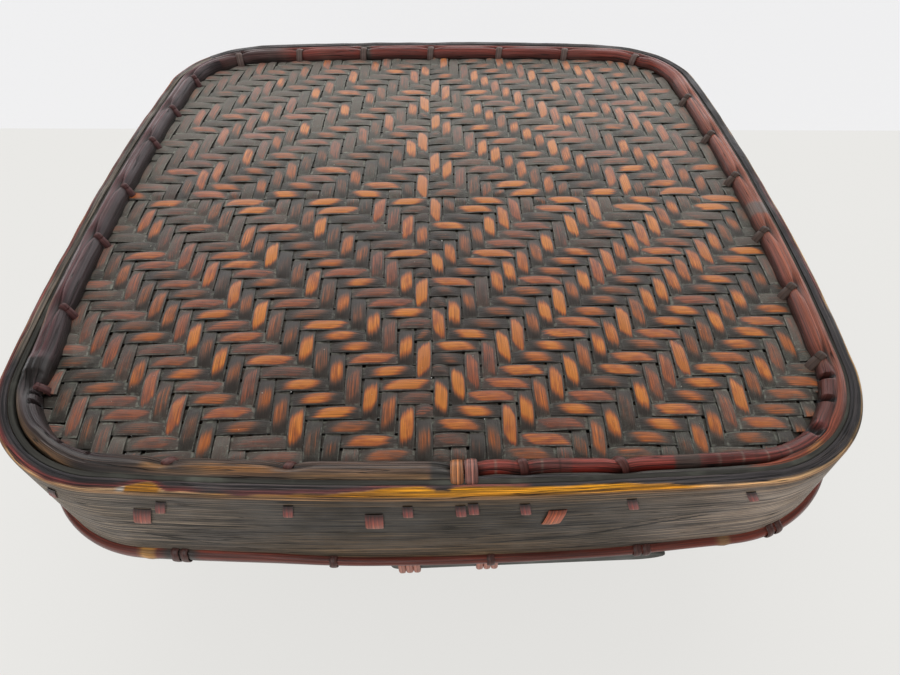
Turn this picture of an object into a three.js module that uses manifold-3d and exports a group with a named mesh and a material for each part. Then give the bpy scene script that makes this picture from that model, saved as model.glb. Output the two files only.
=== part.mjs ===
// Rice basket of split bamboo and rattan: a tapered woven body and a square lid that lifts off.
// Millimetres, Z up. The origin is on the table under the middle of the basket, and the front faces -Y.

import * as THREE from 'three';
import { mergeVertices } from 'three/addons/utils/BufferGeometryUtils.js';
import Module from 'manifold-3d';

// Fits
const gap = 0.3; // between two pieces that touch
const lidClearance = 0.8; // between the lid's band and the collar it slides over

// Lid plan, on the outside of its band
const lidHalfWidth = 150; // centre to the middle of a side
const lidCornerRadius = 49;
const lidSideRise = 9; // the middle of a side stands this far beyond its ends

// Lid heights
const lidHeight = 44.5; // lower edge to top edge, at the middle
const topLean = 4.5; // the top edge drops this far from the middle to the right side

// Lid band and the moulding round its lower edge
const bandThickness = 4.3;
const bandEdgeRadius = 1.6;
const mouldingHeight = 5.6;
const mouldingOutset = 2;

// Rim of the lid: a filler strip, then two half-round beads over the edge of the panel
const fillerWidth = 1.3;
const fillerDrop = 1.2; // below the top edge
const outerBeadWidth = 4.4;
const outerBeadRise = 1.9; // above the top edge
const innerBeadWidth = 4.1;
const innerBeadRise = 1.5;
const beadCrown = 2.2; // height of the rounded part of a bead

// Woven panel of the lid, and what lies under it
const panelDrop = 4.3; // below the top edge
const panelThickness = 3.2;
const lidHoopThickness = 3;
const lidHoopHeight = 5.2;
const braceWidth = 8;
const braceThickness = 2.6;
const bracePlaceShares = { left: -0.605, middle: -0.125, right: 0.243 };

// Rattan on the lid
const rattanThickness = 0.9;
const tieWidth = 3.4;
const tiePlaceShares = {
  front: [-0.553, -0.32, 0.047, 0.076, 0.169, 0.4],
  right: [-0.64, -0.413, -0.187, 0.08, 0.32, 0.567],
  back: [-0.827, -0.52, -0.26, 0.013, 0.28, 0.533, 0.793],
  left: [-0.507, -0.3, -0.04, 0.193, 0.467, 0.727],
};
const tieSlantShares = { front: 0.5, right: -0.9, back: 0.2, left: 0.9 };
const wideTieNumbers = [3, 4]; // the two front ties that cross both beads, over the beads' joint
// Where a tie leaves the crown of a bead and comes down on the next, as shares of the half round
const tieStartShare = 0.25;
const wideTieShares = { start: 0.17, end: 0.6 };
const wrapWidth = 3.8; // one turn round the moulding
const wrapPlaceShares = {
  front: { pair_left: -0.587, single_left: -0.231, single_right: 0.117, pair_right: 0.47, pair_corner: 0.747 },
  back: { pair_left: 0.53, pair_right: -0.53 },
};
const pressedEdgeShare = 0.17; // of the rattan's thickness, where one turn presses into the next
const stapleWidth = 7;
const stapleHeight = 6.2;

// Neck of the body
const seatHeight = 104; // table to what the lid rests on
const neckRise = 20; // from the seat up to the top of the collar
const collarDrop = 14; // from the seat down to the lower edge of the collar
const collarThickness = 3.4;
const neckHoopThickness = 2.8;
const neckHoopHeight = 15;
const seatHoopWidth = 3.2;
const seatHoopHeight = 4.3;
const seatHoopRoundShare = 0.33; // of its width, bevelled off its lower edge

// Splice board and its two lashings, on the front of the collar under the lid
const spliceLength = 99;
const spliceHeight = 7;
const spliceThickness = 2.8;
const spliceEndRadius = 3.4;
const splicePlaceShare = 0.212;
const lashingTurns = 3;
const lashingTurnWidth = 2.8;
const lashingPlaceShares = { left: -0.065, right: 0.12 };

// Woven wall of the body
const wallThickness = 2.7;
const wallSwellShare = 0.5; // how far the wall swells out between its foot and its shoulder
const shoulderDrop = 12; // from the seat down to the wall's shoulder
const wallEdgeHeight = 2; // table to the wall's lower edge

// Foot of the body: the wall's plan there, two hoops, the floor and its battens
const footHalfWidth = 105;
const footCornerRadius = 36;
const footSideRise = 5.5;
const footHoopThickness = 3.7;
const footHoopHeight = 13;
const floorHoopThickness = 3.2;
const floorHoopHeight = 8;
const floorThickness = 3;
const battenWidth = 12;
const battenThickness = 3.4;
const battenPlaceShare = 0.36;

// Steps round the plan and up the wall
const sideSteps = 6;
const cornerSteps = 7;
const wallSteps = 5;
const roundSteps = 5;

const quarterTurn = Math.PI / 2;
const halfTurn = Math.PI;
const sides = ['right', 'back', 'left', 'front'];

const colours = {
  band: 0x3b322b,
  rim: 0x4a2420,
  filler: 0x4d4c40,
  weave: 0x7a4322,
  cane: 0x8c4a35,
  plain: 0x6b5137,
  dark: 0x2f312c,
};

const wasm = await Module();
wasm.setup();

// Plans: a square whose sides bow outwards, each an arc, joined by round corners

function makePlan(half, radius, rise) {
  const sideRadius = (half * half + rise * rise) / (rise + rise);
  const back = sideRadius - half; // the side's arc is struck from this far behind the centre
  const reach = sideRadius - radius;
  const corner = (Math.sqrt(reach * reach + reach * reach - back * back) - back) / 2;
  return { radius, sideRadius, back, corner, turn: Math.atan2(corner, corner + back) };
}

const lidPlan = makePlan(lidHalfWidth, lidCornerRadius, lidSideRise);
const footPlan = makePlan(footHalfWidth, footCornerRadius, footSideRise);

// The arc of the right side or of a corner beside it that holds an angle, counted from +X
function arcAt(plan, angle) {
  if (Math.abs(angle) <= plan.turn) {
    return { centre: new THREE.Vector2(-plan.back, 0), radius: plan.sideRadius };
  }
  const corner = new THREE.Vector2(plan.corner, Math.sign(angle) * plan.corner);
  return { centre: corner, radius: plan.radius };
}

function arcPoint(arc, out, angle) {
  const reach = arc.radius + out;
  return new THREE.Vector2(reach * Math.cos(angle), reach * Math.sin(angle)).add(arc.centre);
}

function outlineAngles(plan) {
  const angles = [];
  for (let step = 0; step < sideSteps; step += 1) {
    angles.push(THREE.MathUtils.lerp(-plan.turn, plan.turn, step / sideSteps));
  }
  for (let step = 0; step < cornerSteps; step += 1) {
    angles.push(THREE.MathUtils.lerp(plan.turn, quarterTurn - plan.turn, step / cornerSteps));
  }
  return angles;
}

// All stations round a plan, moved inwards by inset
function outline(plan, inset) {
  const middle = new THREE.Vector2();
  return sides.flatMap((side, quarter) => outlineAngles(plan).map((angle) => (
    arcPoint(arcAt(plan, angle), -inset, angle).rotateAround(middle, quarter * quarterTurn)
  )));
}

// Distance from the centre line to the outline, moved inwards by inset, at a place along a side
function sideReach(plan, inset, along) {
  const radius = plan.sideRadius - inset;
  return Math.sqrt(radius * radius - along * along) - plan.back;
}

// The angle on the lid's outline that lies a distance along a side from the side's middle
function angleAlong(along) {
  const onArc = Math.asin(along / lidPlan.sideRadius);
  if (Math.abs(onArc) <= lidPlan.turn) return onArc;
  return Math.sign(along) * Math.asin((Math.abs(along) - lidPlan.corner) / lidPlan.radius);
}

// Pieces for a side are drawn with X outwards, Y up and Z back along the side

function quarterOf(side) {
  return new THREE.Matrix4().makeRotationZ(sides.indexOf(side) * quarterTurn);
}

// Stands a drawn piece flat against a side
function stand(geometry, side, along, height) {
  const angle = angleAlong(along);
  const place = arcPoint(arcAt(lidPlan, angle), 0, angle);
  const outwards = new THREE.Vector3(Math.cos(angle), Math.sin(angle), 0);
  const upwards = new THREE.Vector3(0, 0, 1);
  const matrix = new THREE.Matrix4().makeBasis(outwards, upwards, outwards.clone().cross(upwards));
  matrix.setPosition(place.x, place.y, height);
  return geometry.applyMatrix4(matrix).applyMatrix4(quarterOf(side));
}

// Bends a drawn piece round the curve of a side
function bend(geometry, side, along, height) {
  const middle = angleAlong(along);
  const arc = arcAt(lidPlan, middle);
  const { position } = geometry.attributes;
  for (let i = 0; i < position.count; i += 1) {
    const out = position.getX(i);
    const place = arcPoint(arc, out, middle - position.getZ(i) / (arc.radius + out));
    position.setXYZ(i, place.x, place.y, height + position.getY(i));
  }
  return geometry.applyMatrix4(quarterOf(side));
}

// Solids

// A closed ring of material from a list of loops, each holding the same number of points
function loft(loops) {
  const count = loops[0].length;
  const positions = loops.flat().flatMap((point) => point.toArray());
  const index = [];
  loops.forEach((loop, row) => {
    const nextRow = (row + 1) % loops.length;
    loop.forEach((point, station) => {
      const next = (station + 1) % count;
      const near = [row * count + station, row * count + next];
      const far = [nextRow * count + station, nextRow * count + next];
      index.push(near[0], near[1], far[1], near[0], far[1], far[0]);
    });
  });
  const geometry = new THREE.BufferGeometry();
  geometry.setAttribute('position', new THREE.Float32BufferAttribute(positions, 3));
  geometry.setIndex(index);
  geometry.computeVertexNormals();
  return geometry;
}

// A hoop: each profile point is an inset and a height, going up the outside and down the inside
function hoop(plan, profile) {
  return loft(profile.map(([inset, height]) => (
    outline(plan, inset).map((place) => new THREE.Vector3(place.x, place.y, height))
  )));
}

function flatHoop(plan, inset, thickness, bottom, top) {
  return hoop(plan, [[inset, bottom], [inset, top], [inset + thickness, top], [inset + thickness, bottom]]);
}

// Points of half an ellipse, from its outer side over its top to its inner side
function halfRound(centre, halfWidth, base, rise) {
  const points = [];
  for (let step = 0; step <= roundSteps; step += 1) {
    const angle = (halfTurn * step) / roundSteps;
    points.push([centre - halfWidth * Math.cos(angle), base + rise * Math.sin(angle)]);
  }
  return points;
}

function plate(plan, inset, bottom, thickness) {
  const geometry = new THREE.ExtrudeGeometry(new THREE.Shape(outline(plan, inset)), {
    depth: thickness,
    bevelEnabled: false,
    steps: 1,
  });
  return geometry.translate(0, 0, bottom);
}

// A section of outward and upward distances, drawn out along the side about its middle
function drawn(points, width) {
  const shape = new THREE.Shape(points.map(([out, up]) => new THREE.Vector2(out, up)));
  const geometry = new THREE.ExtrudeGeometry(shape, { depth: width, bevelEnabled: false, steps: 1 });
  return geometry.translate(0, 0, -width / 2);
}

function toSolid(geometry) {
  const bare = geometry.clone();
  bare.deleteAttribute('normal');
  bare.deleteAttribute('uv');
  const merged = mergeVertices(bare);
  const vertProperties = new Float32Array(merged.attributes.position.array);
  const triVerts = new Uint32Array(merged.index.array);
  return new wasm.Manifold(new wasm.Mesh({ numProp: 3, vertProperties, triVerts }));
}

function fromSolid(solid) {
  const mesh = solid.getMesh();
  const geometry = new THREE.BufferGeometry();
  geometry.setAttribute('position', new THREE.BufferAttribute(mesh.vertProperties, 3));
  geometry.setIndex(new THREE.BufferAttribute(mesh.triVerts, 1));
  geometry.computeVertexNormals();
  return geometry;
}

// Turns of rattan laid side by side, pressed into one another at their edges
function turns(section, turnWidth, count) {
  const pressed = rattanThickness * pressedEdgeShare;
  const pitch = turnWidth - pressed;
  const solids = [];
  for (let turn = 0; turn < count; turn += 1) {
    const wide = turn % 2 === 0 ? pressed : 0;
    const strap = drawn(section(wide), turnWidth);
    solids.push(toSolid(strap.translate(0, 0, (turn - (count - 1) / 2) * pitch)));
  }
  return fromSolid(solids.reduce((joined, solid) => joined.add(solid)));
}

function bamboo(name, geometry, colour, roughness) {
  const material = new THREE.MeshStandardMaterial({ color: colour, roughness, metalness: 0 });
  const mesh = new THREE.Mesh(geometry, material);
  mesh.name = name;
  return mesh;
}

// The lid, drawn with its lower edge at height zero

const panelTop = lidHeight - panelDrop;
const panelBottom = panelTop - panelThickness;
const lidHoopBottom = panelBottom - gap - lidHoopHeight;
const braceMiddle = lidHoopBottom - gap - braceThickness / 2;
const fillerInset = bandThickness + gap;
const outerBeadInset = fillerInset + fillerWidth + gap;
const innerBeadInset = outerBeadInset + outerBeadWidth + gap;
const outerBead = {
  centre: outerBeadInset + outerBeadWidth / 2,
  half: outerBeadWidth / 2,
  base: lidHeight + outerBeadRise - beadCrown,
};
const innerBead = {
  centre: innerBeadInset + innerBeadWidth / 2,
  half: innerBeadWidth / 2,
  base: lidHeight + innerBeadRise - beadCrown,
};

// The top of the lid leans to the right; the moulding stays level, and what is between follows
function lean(geometry) {
  const { position } = geometry.attributes;
  for (let i = 0; i < position.count; i += 1) {
    const share = Math.max(0, (position.getZ(i) - mouldingHeight) / (lidHeight - mouldingHeight));
    const drop = (topLean * position.getX(i)) / lidHalfWidth;
    position.setZ(i, position.getZ(i) - drop * share);
  }
  geometry.computeVertexNormals();
}

function lidBand() {
  const edge = bandEdgeRadius * (1 - Math.SQRT1_2);
  return hoop(lidPlan, [
    [0, 0],
    [0, lidHeight - bandEdgeRadius],
    [edge, lidHeight - edge],
    [bandEdgeRadius, lidHeight],
    [bandThickness, lidHeight],
    [bandThickness, 0],
  ]);
}

function lidMoulding() {
  const middle = mouldingHeight / 2;
  const round = halfRound(middle, middle, 0, mouldingOutset);
  return hoop(lidPlan, round.map(([height, out]) => [-gap - out, height]));
}

function bead(shape) {
  const crown = halfRound(shape.centre, shape.half, shape.base, beadCrown);
  const bottom = panelTop + gap;
  return hoop(lidPlan, [[shape.centre - shape.half, bottom], ...crown, [shape.centre + shape.half, bottom]]);
}

function lidBrace(along) {
  const inset = bandThickness + gap;
  const reach = sideReach(lidPlan, inset, Math.abs(along) + braceWidth / 2);
  const geometry = new THREE.BoxGeometry(braceWidth, reach + reach, braceThickness);
  return geometry.translate(along, 0, braceMiddle);
}

// Part of the path of a tie over a bead, held off its surface; angles start at its outer side
function overBead(shape, off, from, to) {
  const points = [];
  for (let step = 0; step <= roundSteps; step += 1) {
    const angle = THREE.MathUtils.lerp(from, to, step / roundSteps);
    const out = -shape.centre + (shape.half + off) * Math.cos(angle);
    points.push([out, shape.base + (beadCrown + off) * Math.sin(angle)]);
  }
  return points;
}

// Section of a rattan tie that ends on the panel
function tieSection(wide) {
  const path = (off) => {
    const inner = overBead(innerBead, off, halfTurn * tieStartShare, halfTurn);
    const outer = overBead(outerBead, off, halfTurn * wideTieShares.start, halfTurn * wideTieShares.end);
    const end = [-innerBead.centre - innerBead.half - off, panelTop + gap];
    return wide ? [...outer, ...inner, end] : [...inner, end];
  };
  return [...path(gap), ...path(gap + rattanThickness).reverse()].reverse();
}

function beadTie(side, along, wide) {
  const geometry = drawn(tieSection(wide), tieWidth);
  const slant = wide ? 0 : tieSlantShares[side];
  const { position } = geometry.attributes;
  for (let i = 0; i < position.count; i += 1) {
    const inwards = -innerBead.centre - position.getX(i);
    position.setZ(i, position.getZ(i) - slant * inwards);
  }
  return bend(geometry, side, along, 0);
}

// Turns of rattan round the moulding
function mouldingWrap(side, along, count) {
  const middle = mouldingHeight / 2;
  const section = (wide) => {
    const path = (off) => {
      const points = [];
      for (let step = 0; step <= roundSteps; step += 1) {
        const angle = THREE.MathUtils.lerp(-quarterTurn / 2, quarterTurn, step / roundSteps);
        const out = gap + (mouldingOutset + off) * Math.cos(angle);
        points.push([out, middle + (middle + off) * Math.sin(angle)]);
      }
      return points;
    };
    return [...path(gap + rattanThickness + wide), ...path(gap).reverse()];
  };
  return bend(turns(section, wrapWidth, count), side, along, 0);
}

// A wide flat staple that holds the end of a brace through the band
function staple(side, along) {
  const half = stapleHeight / 2;
  const out = gap + rattanThickness;
  const shoulder = gap + rattanThickness / 2;
  const corner = half - rattanThickness;
  const lower = [[gap, -half], [shoulder, -half], [out, -corner]];
  const upper = [[out, corner], [shoulder, half], [gap, half]];
  return stand(drawn([...lower, ...upper], stapleWidth), side, along, braceMiddle);
}

function makeLid() {
  const lid = new THREE.Group();
  lid.position.z = seatHeight + gap;
  const add = (name, geometry, colour, roughness) => {
    lean(geometry);
    lid.add(bamboo(name, geometry, colour, roughness));
  };
  const filler = flatHoop(lidPlan, fillerInset, fillerWidth, panelTop + gap, lidHeight - fillerDrop);
  const lidHoop = flatHoop(lidPlan, fillerInset, lidHoopThickness, lidHoopBottom, panelBottom - gap);
  add('lid_band', lidBand(), colours.band, 0.6);
  add('lid_moulding', lidMoulding(), colours.rim, 0.35);
  add('lid_filler', filler, colours.filler, 0.8);
  add('lid_outer_bead', bead(outerBead), colours.rim, 0.45);
  add('lid_inner_bead', bead(innerBead), colours.rim, 0.5);
  add('lid_panel', plate(lidPlan, fillerInset, panelBottom, panelThickness), colours.weave, 0.6);
  add('lid_hoop', lidHoop, colours.plain, 0.7);
  Object.entries(bracePlaceShares).forEach(([place, share]) => {
    const along = share * lidHalfWidth;
    add(`lid_brace_${place}`, lidBrace(along), colours.plain, 0.7);
    add(`lid_staple_front_${place}`, staple('front', along), colours.cane, 0.5);
    add(`lid_staple_back_${place}`, staple('back', -along), colours.cane, 0.5);
  });
  Object.entries(tiePlaceShares).forEach(([side, shares]) => {
    shares.forEach((share, i) => {
      const wide = side === 'front' && wideTieNumbers.includes(i + 1);
      const tie = beadTie(side, share * lidHalfWidth, wide);
      add(`lid_tie_${side}_${i + 1}`, tie, colours.cane, 0.5);
    });
  });
  Object.entries(wrapPlaceShares).forEach(([side, shares]) => {
    Object.entries(shares).forEach(([place, share]) => {
      const count = place.startsWith('pair') ? 2 : 1;
      const wrap = mouldingWrap(side, share * lidHalfWidth, count);
      add(`moulding_wrap_${side}_${place}`, wrap, colours.cane, 0.4);
    });
  });
  return lid;
}

// The body

const collarInset = bandThickness + lidClearance;
const wallInset = collarInset + collarThickness + gap;
const neckHeight = seatHeight + neckRise;
const seatHoopBottom = seatHeight - seatHoopHeight;
const spliceTop = seatHoopBottom - gap - rattanThickness - gap;
const spliceMiddle = spliceTop - spliceHeight / 2;
const spliceAlong = splicePlaceShare * lidHalfWidth;

// Loops of the woven wall at one depth from its outer face, from its lower edge to its top
function wallLoops(depth) {
  const shoulderHeight = seatHeight - shoulderDrop;
  const foot = outline(footPlan, depth);
  const neck = outline(lidPlan, wallInset + depth);
  const loop = (share, height) => foot.map((place, i) => {
    const point = place.clone().lerp(neck[i], share);
    return new THREE.Vector3(point.x, point.y, height);
  });
  const loops = [loop(0, wallEdgeHeight)];
  for (let step = 0; step <= wallSteps; step += 1) {
    const share = step / wallSteps;
    const swell = share + wallSwellShare * share * (1 - share);
    loops.push(loop(swell, THREE.MathUtils.lerp(footHoopHeight, shoulderHeight, share)));
  }
  loops.push(loop(1, neckHeight));
  return loops;
}

function bodyWall() {
  return loft([...wallLoops(0), ...wallLoops(wallThickness).reverse()]);
}

// A half-round hoop on the collar, flat on top, that the lid rests on
function seatHoop() {
  const inner = collarInset - gap;
  const outer = inner - seatHoopWidth;
  const soft = seatHoopWidth * seatHoopRoundShare;
  return hoop(lidPlan, [
    [outer + soft, seatHoopBottom],
    [outer, seatHoopBottom + soft],
    [outer, seatHeight],
    [inner, seatHeight],
    [inner, seatHoopBottom],
  ]);
}

function spliceBoard() {
  const length = spliceLength / 2 - spliceEndRadius;
  const height = spliceHeight / 2 - spliceEndRadius;
  const shape = new THREE.Shape();
  shape.absarc(length, height, spliceEndRadius, 0, quarterTurn);
  shape.absarc(-length, height, spliceEndRadius, quarterTurn, halfTurn);
  shape.absarc(-length, -height, spliceEndRadius, halfTurn, halfTurn + quarterTurn);
  shape.absarc(length, -height, spliceEndRadius, halfTurn + quarterTurn, halfTurn + halfTurn);
  const geometry = new THREE.ExtrudeGeometry(shape, {
    depth: spliceThickness,
    bevelEnabled: false,
    steps: 1,
    curveSegments: roundSteps,
  });
  geometry.rotateY(quarterTurn).translate(gap - collarInset, 0, 0);
  return stand(geometry, 'front', spliceAlong, spliceMiddle);
}

// Three turns of rattan round the splice board, square to it
function lashing(along) {
  const half = spliceHeight / 2;
  const back = gap + gap - collarInset;
  const face = spliceThickness - collarInset + gap;
  const section = (wide) => {
    const path = (off) => {
      const edge = half + off;
      return [[back, edge], [face + off, edge], [face + off, -edge], [back, -edge]];
    };
    return [...path(gap), ...path(gap + rattanThickness - wide).reverse()];
  };
  const wraps = turns(section, lashingTurnWidth, lashingTurns).translate(0, 0, spliceAlong - along);
  return stand(wraps, 'front', spliceAlong, spliceMiddle);
}

function floorBatten(along) {
  const inset = wallThickness + gap + floorHoopThickness + gap;
  const reach = sideReach(footPlan, inset, Math.abs(along) + battenWidth / 2);
  const top = floorHoopHeight;
  const geometry = new THREE.BoxGeometry(reach + reach, battenWidth, battenThickness);
  return geometry.translate(0, along, top - battenThickness / 2);
}

function makeBody() {
  const body = new THREE.Group();
  const add = (name, geometry, colour, roughness) => body.add(bamboo(name, geometry, colour, roughness));
  const hoopInset = wallInset + wallThickness + gap;
  const floorInset = wallThickness + gap;
  const battenAlong = battenPlaceShare * footHalfWidth;
  const collar = flatHoop(lidPlan, collarInset, collarThickness, seatHeight - collarDrop, neckHeight);
  const neckHoop = flatHoop(lidPlan, hoopInset, neckHoopThickness, neckHeight - neckHoopHeight, neckHeight);
  const footHoop = flatHoop(footPlan, -gap - footHoopThickness, footHoopThickness, 0, footHoopHeight);
  const floorHoop = flatHoop(footPlan, floorInset, floorHoopThickness, 0, floorHoopHeight);
  const floor = plate(footPlan, floorInset, floorHoopHeight + gap, floorThickness);
  add('body_wall', bodyWall(), colours.weave, 0.65);
  add('body_collar', collar, colours.band, 0.6);
  add('body_neck_hoop', neckHoop, colours.plain, 0.7);
  add('body_seat_hoop', seatHoop(), colours.rim, 0.45);
  add('body_splice_board', spliceBoard(), colours.dark, 0.6);
  Object.entries(lashingPlaceShares).forEach(([place, share]) => {
    add(`splice_lashing_${place}`, lashing(share * lidHalfWidth), colours.cane, 0.5);
  });
  add('foot_hoop', footHoop, colours.band, 0.6);
  add('floor_hoop', floorHoop, colours.plain, 0.7);
  add('body_floor', floor, colours.weave, 0.65);
  add('floor_batten_front', floorBatten(-battenAlong), colours.plain, 0.7);
  add('floor_batten_back', floorBatten(battenAlong), colours.plain, 0.7);
  return body;
}

const basket = new THREE.Group();
basket.add(makeBody(), makeLid());

export default basket;
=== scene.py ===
import math

import bpy
import numpy as np
from bpy.props import FloatProperty, FloatVectorProperty, IntProperty, PointerProperty
from bpy.types import Operator, Panel, PropertyGroup
from mathutils import Matrix


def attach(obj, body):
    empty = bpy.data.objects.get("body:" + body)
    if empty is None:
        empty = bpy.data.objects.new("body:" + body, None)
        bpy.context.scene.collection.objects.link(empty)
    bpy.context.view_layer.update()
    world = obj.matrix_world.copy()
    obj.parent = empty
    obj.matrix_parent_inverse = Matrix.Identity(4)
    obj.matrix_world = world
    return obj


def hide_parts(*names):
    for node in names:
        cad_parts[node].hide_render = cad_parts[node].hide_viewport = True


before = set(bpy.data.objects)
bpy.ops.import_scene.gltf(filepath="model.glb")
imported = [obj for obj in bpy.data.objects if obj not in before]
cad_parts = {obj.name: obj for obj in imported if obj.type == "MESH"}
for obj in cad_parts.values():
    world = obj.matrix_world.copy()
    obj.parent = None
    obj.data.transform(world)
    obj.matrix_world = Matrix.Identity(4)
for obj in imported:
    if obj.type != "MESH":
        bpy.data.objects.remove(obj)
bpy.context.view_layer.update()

bl_info = {
    "name": "Rice basket",
    "version": (1, 0, 0),
    "blender": (4, 5, 0),
    "location": "3D View > Sidebar > Rice basket",
    "description": "Builds the woven lid, rim, rattan and body of a lidded rice basket",
    "category": "Add Mesh",
}

MM = 0.001
SIDES = ("right", "back", "left", "front")
QUARTER_TURN = math.pi / 2
FAR = 400  # past both ends of a side, in millimetres
HOOP_GAP = 0.3 * MM  # from one hoop to the next that lies against it
COLLAR_GAP = 0.8 * MM  # from the inside of the lid's band to the collar
HALF_STRIP = 0.46  # half the width of a strip of the body, as a share of the pitch


# Sizes and colours that a user would change


def linear(level):
    """One channel of a screen colour, 0 to 255, as a linear value"""
    share = level / 255
    return share / 12.92 if share <= 0.04045 else ((share + 0.055) / 1.055) ** 2.4


def screen(red, green, blue):
    return (linear(red), linear(green), linear(blue))


def solid(red, green, blue):
    return (*screen(red, green, blue), 1)


def length(name, description, millimetres):
    return FloatProperty(
        name=name, description=description, default=millimetres * MM, unit="LENGTH", precision=5
    )


def colour(name, description, red, green, blue):
    return FloatVectorProperty(
        name=name, description=description, subtype="COLOR", size=3, min=0, max=1,
        default=screen(red, green, blue),
    )


class LidSizes(PropertyGroup):
    """Sizes of the lid"""
    half_width: length("Half width", "Centre to the middle of a side, on the outside of the band", 150)
    corner_radius: length("Corner radius", "Radius of the lid's corners", 49)
    side_rise: length("Side rise", "How far the middle of a side stands beyond its ends", 9)
    height: length("Height", "Lower edge to top edge, at the middle", 44.5)
    top_lean: length("Lean of the top", "How far the top edge drops from the middle to the right", 4.5)
    corner_drop: length("Corner drop", "How much more the top drops at the front right corner", 1.3)
    band_thickness: length("Band thickness", "Thickness of the bent band", 4.3)
    edge_radius: length("Band edge", "Radius of the band's top edge", 1.6)
    moulding_height: length("Moulding height", "Height of the moulding round the lower edge", 5.6)
    moulding_outset: length("Moulding outset", "How far the moulding stands out", 2)
    panel_drop: length("Panel drop", "From the top edge down to the woven panel", 4.3)
    cane_inset: length("Cane inset", "From the outside of the band to the rim's split cane", 5.4)
    cane_split: length("Cane split", "From the outside of the band to the split in the cane", 9.8)
    cane_end: length("Cane end", "From the outside of the band to the cane's inner edge", 14.4)
    cane_height: length("Cane height", "Height of the rim's split cane over the panel", 5.3)


class WeaveSizes(PropertyGroup):
    """Sizes of the weave"""
    pitch: length("Strip pitch", "Distance from one strip of the lid to the next, about the middle", 5.86)
    strip_share: FloatProperty(
        name="Strip width", description="Width of a strip as a share of the pitch", default=0.93,
        min=0.7, max=1, subtype="FACTOR",
    )
    strip_thickness: length("Strip thickness", "Thickness of one strip", 0.45)
    wave: length("Wave", "How far a strip rises and falls from the middle of the weave", 0.5)
    crown: length("Crown", "How far the middle of a strip stands above its edges", 0.46)
    twist: length("Twist", "How far two corners of a float are lifted", 0.16)
    strips: IntProperty(name="Strips", description="Strips each way in the lid", default=48, min=12, max=96)


class BodySizes(PropertyGroup):
    """Sizes of the body"""
    seat_height: length("Seat height", "Table to what the lid rests on", 104)
    neck_rise: length("Neck rise", "From the seat up to the top of the collar", 20)
    collar_drop: length("Collar drop", "From the seat down to the lower edge of the collar", 14)
    collar_thickness: length("Collar thickness", "Thickness of the collar", 3.4)
    wall_thickness: length("Wall thickness", "Thickness of the woven wall", 2.7)
    foot_half_width: length("Foot half width", "Centre to the middle of a side, at the foot", 105)
    foot_corner_radius: length("Foot corner radius", "Radius of the body's corners at the foot", 36)
    foot_side_rise: length("Foot side rise", "How far the middle of a side stands beyond its ends", 5.5)
    foot_hoop_height: length("Foot hoop height", "Height of the hoop outside the foot", 13)


class Finishes(PropertyGroup):
    """Colours of the bamboo and the rattan"""
    smoke: colour("Smoke", "Old bamboo where nothing has rubbed it", 42, 33, 26)
    brown: colour("Brown", "Bamboo that is a little rubbed", 84, 54, 37)
    tan: colour("Tan", "Bamboo that is rubbed half through", 134, 71, 28)
    orange: colour("Orange", "Bamboo rubbed bare", 174, 90, 22)
    bright: colour("Bright orange", "Crown of a float that is rubbed bare", 200, 118, 36)
    dust: colour("Dust", "Dust in the hollows", 102, 104, 94)
    pale_dust: colour("Pale dust", "Line of dust along the edge of a strip", 130, 133, 120)
    pith: colour("Pith", "Inner face of the strips", 142, 112, 76)
    band: colour("Band", "Face of the lid's band", 62, 57, 51)
    maroon: colour("Maroon", "Red bamboo of the rim and the moulding", 112, 66, 60)
    rattan: colour("Rattan", "Ties, stitches and wraps", 82, 50, 45)
    black: colour("Black bamboo", "Splice board", 62, 66, 60)


GROUPS = {
    "basket_lid": LidSizes,
    "basket_weave": WeaveSizes,
    "basket_body": BodySizes,
    "basket_finish": Finishes,
}


def settings():
    """Sizes of the lid, the weave and the body, and the colours"""
    scene = bpy.context.scene
    return scene.basket_lid, scene.basket_weave, scene.basket_body, scene.basket_finish


# Plans: a square whose sides bow outwards, joined by round corners


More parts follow.
